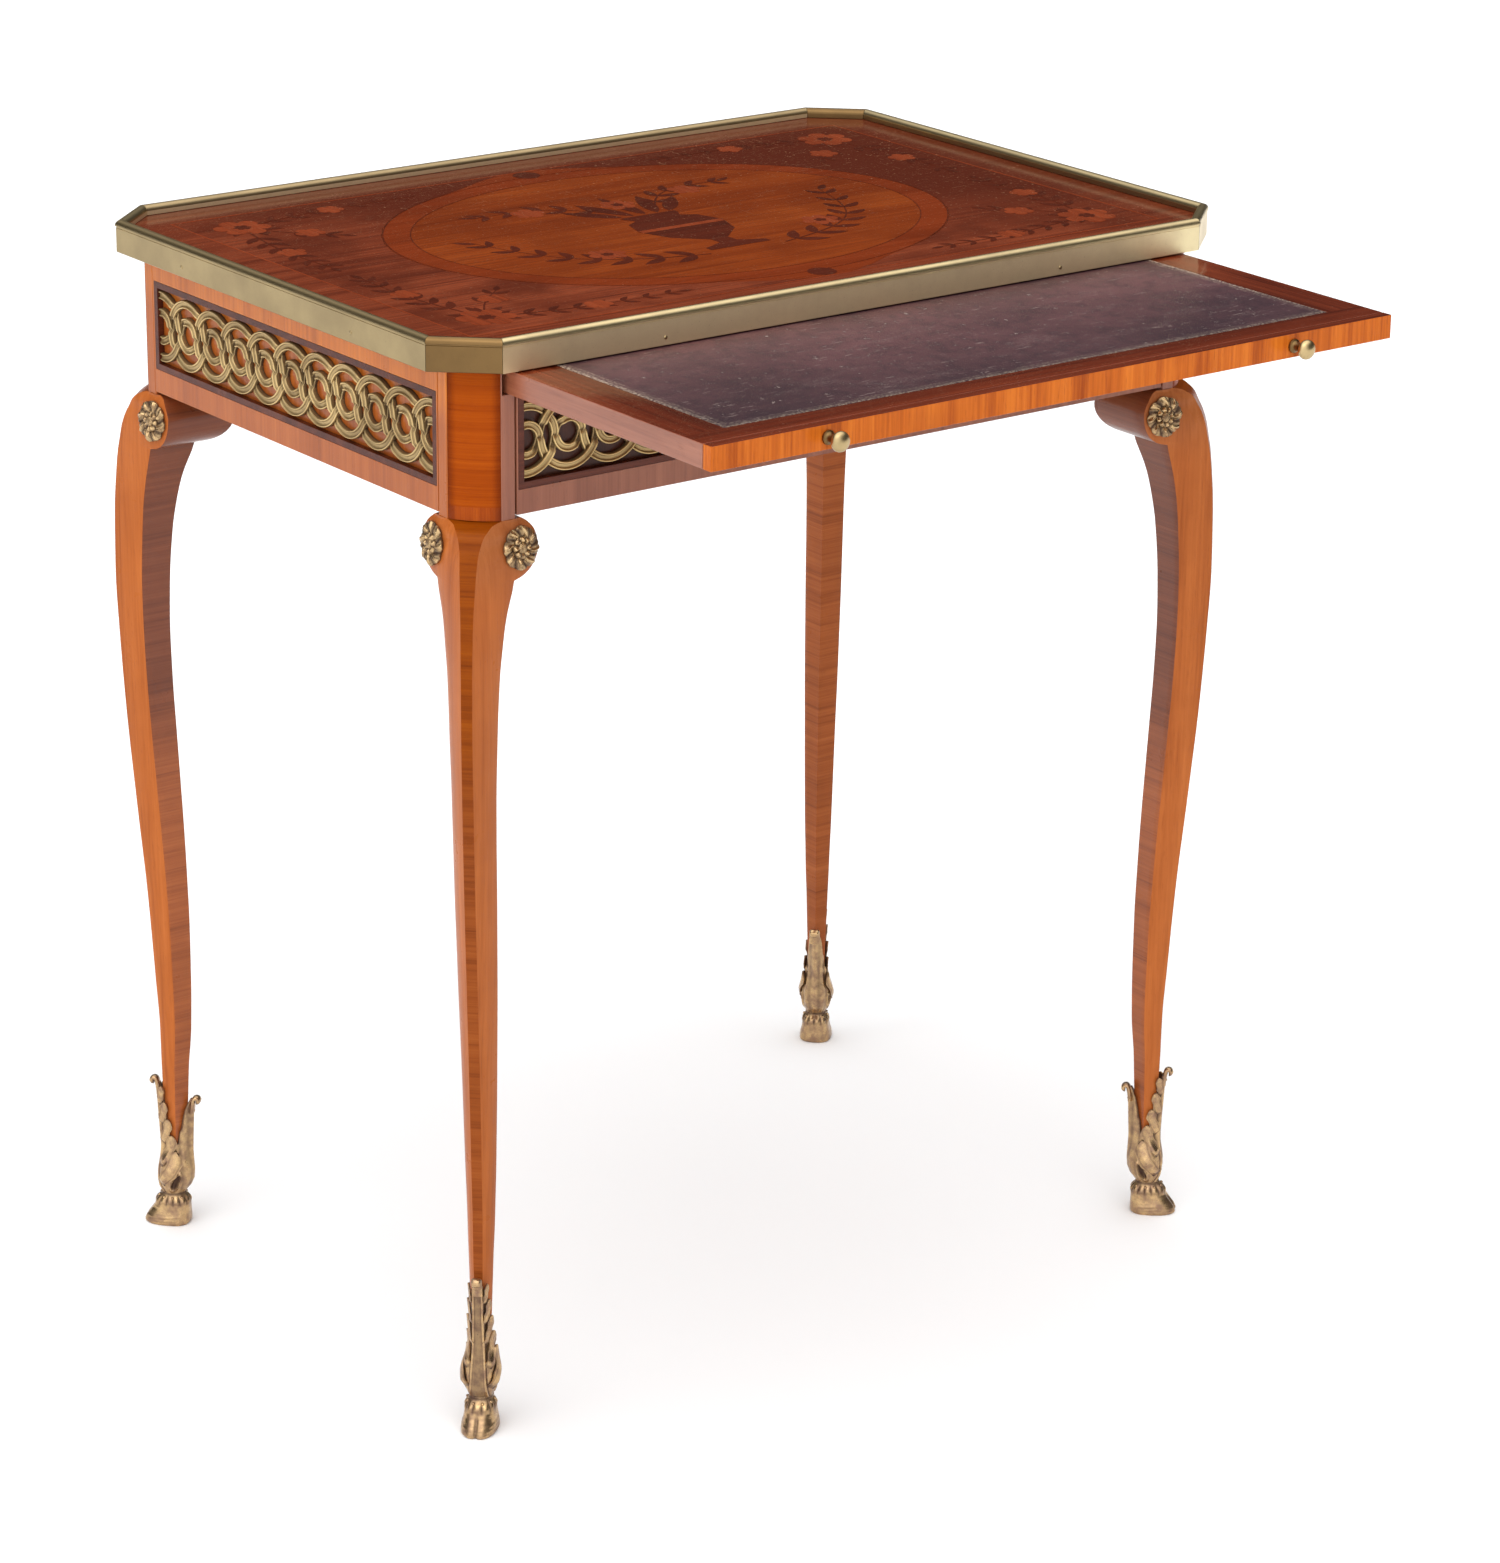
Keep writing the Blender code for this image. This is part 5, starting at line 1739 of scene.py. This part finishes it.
@dataclass
class Shoe(Assembly):
    """Cast shoe: cloven hoof, hair tufts, and leaves up the outer and inner arrises.

    Drawn with a towards the toe, b across and z up, from the middle of its neck. The levels give
    height, reach to the toe, reach back and reach across, in tenths of a millimetre.
    """

    around: int = 224
    low_rows: int = 92
    high_rows: int = 52
    cup: float = 0.056
    girth: float = 0.0115
    hoof_top: float = 0.015
    hair_top: float = 0.0235
    wood_from: float = 0.04
    pit: float = 0.033
    wood_plan: tuple = ((0.00544, 0.0), (0.00544, 0.003), (-0.0049, 0.00838), (-0.0133, 0.0))
    levels: tuple = ((0, 193, 104, 111), (8, 203, 114, 117), (22, 205, 116, 118), (50, 193, 116, 116),
                     (80, 171, 115, 111), (110, 149, 114, 105), (140, 134, 114, 101), (170, 127, 113, 98),
                     (195, 112, 104, 90), (215, 89, 86, 80), (228, 79, 79, 76), (250, 86, 95, 83),
                     (290, 101, 126, 98), (340, 106, 145, 108), (400, 102, 150, 111), (500, 93, 151, 108),
                     (600, 89, 152, 104), (800, 92, 151, 100), (1000, 96, 152, 96), (1110, 99, 156, 96))
    outer_rim: tuple = ((0, 0.108), (14, 0.1062), (30, 0.1), (48, 0.0905), (68, 0.0785), (90, 0.0668),
                        (108, 0.059), (118, 0.058), (130, 0.0625), (142, 0.07), (152, 0.079),
                        (162, 0.088), (172, 0.0935), (180, 0.0945))
    lobes: tuple = ((30, 0.0905, 46, 0.104, 0.0036), (31, 0.076, 62, 0.0925, 0.005),
                    (33, 0.061, 82, 0.08, 0.0058), (37, 0.0455, 100, 0.068, 0.0062),
                    (46, 0.031, 116, 0.0565, 0.0062))
    tips: tuple = ((0.0086, 0.0965, 0.0098, 0.1066, 0.0022, 0.0036),
                   (-0.0146, 0.0835, -0.0158, 0.0928, 0.0022, 0.0042))
    tip_beads: tuple = ((0.01, 0.1005, 1, 0.0011), (-0.0154, 0.085, -1, 0.0012))
    hair_beads: tuple = (0.3, 0.95, 1.65, 2.4)

    def wood(self, z: float) -> list[Flat]:
        """Outline of the wooden foot at a height, as a and b of one side."""
        scale = PLAN.taper(z)
        return [(scale * a, scale * b) for a, b in self.wood_plan]

    def ray(self, z: float, turn: float) -> float:
        """How far the wood reaches in one direction.

        Args:
            z: The height.
            turn: Angle from the toe.

        Returns:
            The distance.
        """
        way = (math.cos(turn), abs(math.sin(turn)))
        best = 0.0
        line = self.wood(z)
        for (ax, ay), (bx, by) in zip(line, line[1:]):
            ex, ey = bx - ax, by - ay
            cross = way[0] * ey - way[1] * ex
            if abs(cross) > 1e-12:
                along = (ax * ey - ay * ex) / cross
                part = (ax * way[1] - ay * way[0]) / cross
                if -0.001 <= part <= 1.001 and along > best:
                    best = along
        return best

    def skin(self, turn: float, z: float) -> float:
        """Radius of the smooth body, without relief.

        Args:
            turn: Angle from the toe.
            z: The height.

        Returns:
            The radius.
        """
        keys, *rows = zip(*self.levels)
        out, back, side = (float(np.interp(z / TENTH, keys, row)) * TENTH for row in rows)
        facing = math.cos(turn)
        ahead = out if facing > 0 else back
        blunt = 2.0 + 0.6 * held((0.019 - z) / 0.006)
        oval = (abs(facing / ahead) ** blunt + abs(math.sin(turn) / side) ** blunt) ** (-1 / blunt)
        if z < self.wood_from:
            return oval
        part = eased(min(1.0, (z - self.wood_from) / 0.022))
        spare = 0.0015 + max(0.0, facing) ** 6 * (out - 0.006) + max(0.0, -facing) ** 6 * (back - 0.0125)
        return oval + (self.ray(z, turn) + spare - oval) * part

    def relief(self, turn: float, z: float) -> tuple[float, float]:
        """Chasing on the body.

        Args:
            turn: Angle from the toe, between minus and plus half a turn.
            z: The height.

        Returns:
            Height added and hollow mark.
        """
        # Hollow marks: grime in the chasing together with painted shade in its creases, cleft, hair and hole
        rise, dirt_and_shade = 0.0, 0.12
        across = self.skin(turn, z) * math.sin(turn)
        front = math.cos(turn)
        toe = max(0.0, front)
        if z < self.hoof_top:
            ease = held((front + 0.7) / 0.9)
            for line in (0.0016, 0.0038, 0.0062):
                ridge = swell(z - line - 0.0005 * math.sin(2 * turn), 0.0008)
                rise += 0.00042 * ease * ridge * (1 - toe ** 8)
                dirt_and_shade += 0.16 * swell(z - line - 0.0012, 0.0005) * ease
            high = min(1.0, (self.hoof_top - z) / 0.005)
            cleft = swell(across, 0.0011) * toe * high
            rise -= 0.001 * cleft
            for bulge in (-0.004, 0.004):
                rise += 0.0005 * swell(across - bulge, 0.0026) * toe * high
            dirt_and_shade += cleft * 0.55
        band = swell(z - 0.0178, 0.0026)
        tuft = abs(math.cos(6.5 * turn))
        droop = swell(z - self.hoof_top - 0.0012 * tuft, 0.001)
        rise += band * (0.0011 * tuft - 0.0002)
        dirt_and_shade += band * (1 - tuft) ** 2 * 1.1 + droop * 0.25
        dirt_and_shade += 0.8 * swell(z - 0.0228, 0.0011)
        if z > self.hair_top:
            half = float(np.interp(z, (0.024, 0.04, 0.06, 0.08, 0.11),
                                   (0.0056, 0.0046, 0.0036, 0.0031, 0.0029)))
            if front > 0:
                inside = max(0.0, 1 - (across / (half - 0.0007)) ** 2)
                edge = swell(abs(across) - half, 0.0006)
                groove = swell(abs(across) - half - 0.0011, 0.00045)
                rise += 0.0008 * edge - 0.0006 * min(1.0, inside * 2.2) - 0.0004 * groove
                dirt_and_shade += 0.5 * (min(1.0, inside * 2.0) + swell(abs(across) - half + 0.001, 0.00028))
                dirt_and_shade += 0.85 * groove - 0.1 * edge
            else:
                folds = 0.5 + 0.5 * math.cos(turn * 12)
                rise += 0.00035 * folds * min(1.0, (z - self.hair_top) / 0.01)
                dirt_and_shade += 0.35 * (1 - folds) ** 2
        slant = (abs(turn) - 1.93) * self.girth - (z - self.pit) * 0.42
        narrow = 0.0026 - 0.16 * (z - self.pit)
        drop = (slant / max(0.001, narrow)) ** 2 + ((z - self.pit) / 0.006) ** 2
        if drop < 2.6:
            hole = max(0.0, 1 - drop) ** 0.5
            rise -= 0.003 * hole
            rise += 0.0009 * swell(drop - 1.35, 0.5)
            dirt_and_shade = max(dirt_and_shade, min(1.0, hole * 1.9))
        return rise, min(1.0, dirt_and_shade)

    def top(self, turn: float) -> float:
        """Height of the body's rim.

        Args:
            turn: Angle from the toe.

        Returns:
            The height.
        """
        degrees = abs(math.degrees((turn + math.pi) % (2 * math.pi) - math.pi))
        rim = float(np.interp(degrees, *zip(*self.outer_rim)))
        wave = math.sin(math.pi * held((degrees - 118) / 50))
        return rim + 0.0017 * wave * math.sin((degrees - 118) * 0.36)

    def spot(self, turn: float, z: float, lift: float) -> Point:
        """A point that stands off the smooth body by the lift."""
        return (*polar(self.skin(turn, z) + lift, turn), z)

    def chased(self, turn: float, z: float) -> tuple[Point, float]:
        """A point of the body with its relief, and its hollow mark."""
        rise, dirt_and_shade = self.relief(turn, z)
        return self.spot(turn, z, rise), dirt_and_shade

    def body(self) -> Cast:
        """Hoof, neck and cup, closed round the wood.

        Returns:
            Points, faces and hollow marks.
        """
        way = round_turn(self.around, -math.pi)
        rows = [[self.chased(turn, z) for turn in way] for z in np.linspace(0, self.cup, self.low_rows)]
        rise = [self.top(turn) - self.cup for turn in way]
        rows += [[self.chased(turn, self.cup + high * share) for turn, high in zip(way, rise)]
                 for share in np.linspace(0.03, 1.0, self.high_rows)]
        # The cup's inner wall is marked dark: painted shade
        rows += [[(self.spot(turn, self.cup + high * share, -thin), 0.9) for turn, high in zip(way, rise)]
                 for share, thin in ((1.0, 0.0012), (0.9, 0.002), (0.0, 0.0024))]
        return Shape.cast(rows)

    def leaf(self, side: int, row: Sequence[float], order: int) -> Cast:
        """One acanthus lobe, laid over the body and turned out at its tip.

        Args:
            side: Minus or plus one.
            row: Start angle and height, tip angle and height, half width.
            order: Which lobe, from the top.

        Returns:
            Points, faces and hollow marks.
        """
        a0, z0, a1, z1, half = row
        along, wide = 19, 13
        upper, lower, marks = [], [], []
        for i in range(along):
            t = i / (along - 1)
            bend = 1 - (1 - t) ** 1.7
            turn = math.radians(a0 + (a1 - a0) * bend)
            z = z0 + (z1 - z0) * (0.35 * t + 0.65 * t ** 1.2)
            spread = half * (0.42 + 0.58 * math.sin(math.pi * min(1.0, t * 0.62 + 0.12))) * math.sqrt(
                max(0.02, 1 - max(0.0, (t - 0.8) / 0.2) ** 2.2))
            slope = Vector(((a1 - a0) * 0.011 * math.pi / 180 * 60 * (1 - t * 0.7), (z1 - z0) * 55))
            slope.normalize()
            for k in range(wide):
                s = 2 * k / (wide - 1) - 1
                notch = 1 - 0.26 * abs(math.sin(2.7 * math.pi * t)) * max(0.0, abs(s) - 0.5) * 2
                shift = s * spread * notch
                turn_k = turn - shift * slope.y / self.girth
                z_k = z + shift * slope.x * 0.9
                vein = math.exp(-((s + 0.15) / 0.2) ** 2)
                edge = max(0.0, abs(s) - 0.6) / 0.4
                lift = 0.0007 + 0.00014 * order + 0.0008 * (1 - s * s) + 0.0004 * vein + 0.0005 * edge ** 2
                lift += 0.0005 * t ** 2.5
                lift *= min(1.0, t * 5 + 0.15)
                upper.append(self.spot(side * turn_k, z_k, lift))
                lower.append(self.spot(side * turn_k, z_k, lift - 0.0011))
                # Grooves near the lobe's edges and its root are marked dark: grime together with painted
                # shade
                groove = swell(abs(s) - 0.72, 0.13)
                marks.append(min(1.0, 0.05 + 0.75 * groove * (1 - 0.5 * t) + (0.6 if t < 0.1 else 0.0)))
        points = upper + lower
        count = along * wide
        faces = []
        for i in range(along - 1):
            for k in range(wide - 1):
                base = i * wide + k
                quad = [base, base + 1, base + wide + 1, base + wide]
                faces.append(quad)
                faces.append([index + count for index in reversed(quad)])
        rim = list(range(wide)) + [i * wide + wide - 1 for i in range(1, along)]
        rim += [(along - 1) * wide + k for k in range(wide - 2, -1, -1)]
        rim += [i * wide for i in range(along - 2, 0, -1)]
        for first, second in zip(rim, rim[1:] + rim[:1]):
            faces.append([first, second, second + count, first + count])
        # The lobe's underside is marked dark: painted shade under it
        return points, faces, marks + [0.9] * count

    def scroll(self, a0: float, z0: float, a1: float, z1: float, radius: float) -> list[Flat]:
        """Path of a tip that rises and rolls outwards.

        Args:
            a0: Place of its root.
            z0: Height of its root.
            a1: Place where it starts to roll.
            z1: Height there.
            radius: Radius of the roll.

        Returns:
            The path.
        """
        side = math.copysign(1, a0)
        path = [(a0 + (a1 - a0) * (k / 6) ** 1.5, z0 + (z1 - z0) * k / 6) for k in range(7)]
        for k in range(1, 15):
            turn = math.radians(19 * k)
            reach = radius * (1 - 0.035 * k)
            path.append((a1 + side * (radius - reach * math.cos(turn)), z1 + reach * math.sin(turn)))
        return path

    def curl(self, path: Sequence[Flat], half: float) -> Cast:
        """A leaf tip rolled outwards, as a ribbon along a path.

        Args:
            path: Places in a and z.
            half: Half its width.

        Returns:
            Points, faces and hollow marks.
        """
        rows = []
        for i, (a, z) in enumerate(path):
            before, after = path[max(0, i - 1)], path[min(len(path) - 1, i + 1)]
            way = Vector((after[0] - before[0], after[1] - before[1])).normalized()
            narrow = half * (1 - 0.25 * i / len(path))
            # The rolled end of the tip is marked dark: painted shade inside the roll
            mark = 0.1 + 0.7 * (i > len(path) - 4)
            row = []
            for turn in round_turn(12):
                thick = 0.0016 * math.sin(turn)
                across = narrow * math.copysign(abs(math.cos(turn)) ** 0.6, math.cos(turn))
                row.append(((a - way.y * thick, across, z + way.x * thick), mark))
            rows.append(row)
        return Shape.cast(rows)

    def dome(self, place: Point, out: Point, radius: float) -> Cast:
        """A small round head.

        Args:
            place: Its middle.
            out: Which way it faces.
            radius: Its radius.

        Returns:
            Points, faces and hollow marks.
        """
        turn = UP.rotation_difference(Vector(out))
        rows = []
        for level in (-0.6, 0.0, 0.4, 0.75, 0.95):
            wide = math.sqrt(1 - max(0.0, level) ** 2)
            spots = [turn @ Vector((*polar(wide, angle), level)) * radius for angle in round_turn(10)]
            # The dome's lower half is marked dark where it meets the surface: grime together with painted
            # shade
            rows.append([(tuple(Vector(place) + spot), 0.8 if level <= 0 else 0.05) for spot in spots])
        return Shape.cast(rows)

    def parts(self) -> Cast:
        """The whole shoe.

        Returns:
            Points, faces and hollow marks.
        """
        shapes = [self.body()]
        for order, row in enumerate(self.lobes):
            for side in (-1, 1):
                shapes.append(self.leaf(side, row, order))
        shapes += [self.curl(self.scroll(*path), half) for *path, half in self.tips]
        shapes += [self.dome((a, 0.0, z), (way, 0, 0), radius) for a, z, way, radius in self.tip_beads]
        for side in (-1, 1):
            shapes.append(self.dome(self.spot(side * 1.72, 0.0425, 0.0007), (0, side, 0), 0.0018))
            for turn in self.hair_beads:
                place = self.spot(side * turn, 0.0203, 0.0002)
                shapes.append(self.dome(place, (math.cos(turn), side * math.sin(turn), 0.3), 0.0011))
        return Shape.join(shapes)

    def dress(self) -> None:
        """Model it once and copy it to the four feet."""
        points, faces, marks = self.parts()
        x, y = PLAN.body_x - PLAN.shoe_inset, PLAN.body_y - PLAN.shoe_inset
        for name, sx, sy in CORNERS:
            spots = [(sx * (x + (a - b) / ROOT), sy * (y + (a + b) / ROOT), z) for a, b, z in points]
            shoe = Shape.build("shoe_cast_" + name, spots, faces, (self.finishes.mount,), (), 45, marks)
            Shape.settle(shoe, "table", "gilt_mount", "shoe_" + name)


@dataclass
class Rosette(Assembly):
    """Round petalled boss on the outer face of each ear."""

    radius: float = 0.0138
    thick: float = 0.0044
    edge_high: float = 0.0006
    petals: int = 8
    around: int = 144
    steps: int = 30
    petal_in: float = 0.52
    seed_out: float = 0.22

    def spot(self, turn: float, share: float, level: float, rise: float) -> Point:
        """A point on the boss: direction, share of the reach, share of the outline, and height."""
        return (*polar(self.radius * share * level, turn), rise)

    def face(self) -> Cast:
        """The boss lying flat, facing up.

        Returns:
            Points, faces and hollow marks.
        """
        way = round_turn(self.around)
        # The boss's edge against the ear is marked dark: grime together with painted shade
        rows = [[(self.spot(turn, level, self.edge(turn), rise), 0.9) for turn in way]
                for level, rise in ((0.97, 0.0), (1.0, self.edge_high))]
        for k in range(self.steps):
            share = 1 - 0.985 * k / (self.steps - 1)
            row = []
            for turn in way:
                height, dirt_and_shade = self.relief(share, turn)
                level = 1 + (self.edge(turn) - 1) * min(1.0, share * 2)
                row.append((self.spot(turn, share, level, self.edge_high + height), dirt_and_shade))
            rows.append(row)
        return Shape.cast(rows)

    def edge(self, turn: float) -> float:
        """Outline share in one direction, dipping between petals."""
        petal = abs(math.cos(self.petals * turn / 2))
        return 0.88 + 0.12 * petal ** 0.45

    def relief(self, share: float, turn: float) -> tuple[float, float]:
        """Height and hollow mark on the boss.

        Args:
            share: Distance from the middle, 1 at the edge.
            turn: Direction.

        Returns:
            Both values.
        """
        # Hollow marks between petals, round the seeds and at the roots: grime together with painted shade
        swirl = turn + 0.55 * (1 - share) + 0.05 * math.sin(5 * turn + 1.3)
        outer = abs(math.cos(self.petals * swirl / 2))
        inner = abs(math.sin(self.petals * swirl / 2))
        top = self.thick - self.edge_high
        if share > self.petal_in:
            run = (share - self.petal_in) / (1 - self.petal_in)
            bow = math.sin(math.pi * min(1.0, run * 0.85 + 0.1))
            vein, spoon = swell(outer - 1, 0.05), swell(outer - 0.8, 0.14)
            height = top * (0.22 + 0.5 * bow * outer ** 0.5 + 0.12 * vein - 0.2 * spoon)
            height += top * 0.1 * math.sin(3 * turn + 9 * share) * math.cos(7 * turn)
            dirt_and_shade = (1 - outer) ** 1.4 * 1.3 + 0.25 * spoon
            if run < 0.15:
                dirt_and_shade += 0.4
        elif share > self.seed_out:
            run = (share - self.seed_out) / (self.petal_in - self.seed_out)
            bow = math.sin(math.pi * min(1.0, run * 0.9 + 0.05))
            height = top * (0.38 + 0.5 * bow * inner ** 0.6 + 0.08 * math.cos(11 * turn + 2.0))
            dirt_and_shade = (1 - inner) ** 1.5 * 1.2 + (0.5 if run < 0.15 else 0.0)
        else:
            run = share / self.seed_out
            seeds = 0.5 + 0.5 * math.cos(12 * turn) * (0.3 < run < 0.85)
            height = top * (0.72 + 0.28 * math.sqrt(max(0.0, 1 - run ** 2)) - 0.05 * (1 - seeds))
            dirt_and_shade = 0.2 + 0.4 * (1 - seeds)
        return height, min(1.0, dirt_and_shade)

    def dress(self) -> None:
        """Model it once and copy it to the eight ears."""
        points, faces, marks = self.face()
        for name, sx, sy in CORNERS:
            for side, inward in (("side", Vector((-sx, 0, 0))), ("face", Vector((0, -sy, 0)))):
                node = "rosette_" + name + "_" + side
                lay = self.lie(node, inward)
                spots = [tuple(lay @ Vector(point)) for point in points]
                boss = Shape.build("boss_" + name + "_" + side, spots, faces, (self.finishes.boss,), (), 60,
                                   marks)
                Shape.settle(boss, "table", "gilt_mount", node)

    def lie(self, node: str, inward: Vector) -> Matrix:
        """Where the solid boss lies and how it is turned.

        Args:
            node: The solid's name.
            inward: Which way its flat back faces.

        Returns:
            The matrix, in the table's own frame.
        """
        mesh = self.nodes[node].data
        backs = [face for face in mesh.polygons if face.normal.dot(inward) > 0.9]
        out = -max(backs, key=lambda face: face.area).normal
        spots = np.array([vertex.co for vertex in mesh.vertices])
        depth = spots @ np.array(out)
        base = spots[depth < depth.min() + 0.0002]
        middle = Vector((base.min(axis=0) + base.max(axis=0)) / 2)
        turn = UP.rotation_difference(out)
        return Matrix.Translation(middle - Vector((0, PLAN.shift, 0))) @ turn.to_matrix().to_4x4()


@dataclass
class Studio:
    """Camera at the photograph's angle, pale floor and soft light."""

    azimuth: float = -0.64855
    elevation: float = 0.34575
    roll: float = 0.01165
    distance: float = 3.37014
    target: Point = (0.07265, 0.10425, 0.31038)
    lens: float = 111.73
    sensor: float = 36.0
    floor_size: float = 60.0
    dim: float = 0.03
    glows: tuple = (((0.0, 0.0, 1.0), 0.45, 0.92, 2.0), ((-0.75, -0.6, 0.28), 0.3, 0.95, 1.6))

    def camera(self) -> None:
        """Place the camera."""
        az, el = self.azimuth, self.elevation
        back = Vector((math.sin(az) * math.cos(el), -math.cos(az) * math.cos(el), math.sin(el)))
        across = UP.cross(back).normalized()
        up = back.cross(across)
        right = across * math.cos(self.roll) + up * math.sin(self.roll)
        over = up * math.cos(self.roll) - across * math.sin(self.roll)
        data = bpy.data.cameras.new("photo_view")
        data.lens = self.lens
        data.sensor_width = self.sensor
        item = bpy.data.objects.new("photo_view", data)
        bpy.context.collection.objects.link(item)
        turn = Matrix((right, over, back)).transposed()
        item.matrix_world = Matrix.Translation(Vector(self.target) + back * self.distance) @ turn.to_4x4()
        bpy.context.scene.camera = item

    def floor(self) -> None:
        """A wide pale floor."""
        bpy.ops.object.select_all(action="DESELECT")
        bpy.ops.mesh.primitive_plane_add(size=self.floor_size, location=(0, 0, 0))
        item = bpy.context.object
        item.name = "studio_floor"
        paint = fresh("floor_paper")
        cloud = paint.noise(paint.place(), 2.0, 2.0)
        item.data.materials.append(paint.finish(
            Base_Color=paint.mix(cloud, (0.96, 0.965, 0.97), (0.94, 0.945, 0.95)), Roughness=0.9))

    def sky(self, world: bpy.types.World) -> None:
        """Bright overhead and to the left, dim near the horizon.

        Args:
            world: The surroundings.
        """
        paint = Paint(world, "Background")
        at = paint.node("ShaderNodeTexCoord", {}, {}, 0)
        light = self.dim
        for way, low, high, power in self.glows:
            aim = Vector(way).normalized()
            dot = paint.node("ShaderNodeVectorMath", {"operation": "DOT_PRODUCT"}, {0: at, 1: aim}, 1)
            light = dot.step(low, high) * power + light
        paint.finish(Color=(0.99, 0.995, 1.0), Strength=light)

    def build(self) -> None:
        """Camera, floor and surroundings."""
        self.camera()
        self.floor()
        world = bpy.data.worlds.new("studio_air")
        bpy.context.scene.world = world
        self.sky(world)
        bpy.context.scene.view_settings.view_transform = "Standard"


def main() -> None:
    """Build the table's looks in order."""
    logging.basicConfig(level=logging.INFO, format="%(message)s")
    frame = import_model()
    Studio().build()
    finishes = Finishes()
    for group in (Carcass, Top, Slide, Leg, Shoe, Rosette, Fret, Gallery):
        group(finishes, frame["nodes"]).dress()
        log.info("%s done", group.__name__)


if __name__ == "__main__":
    main()
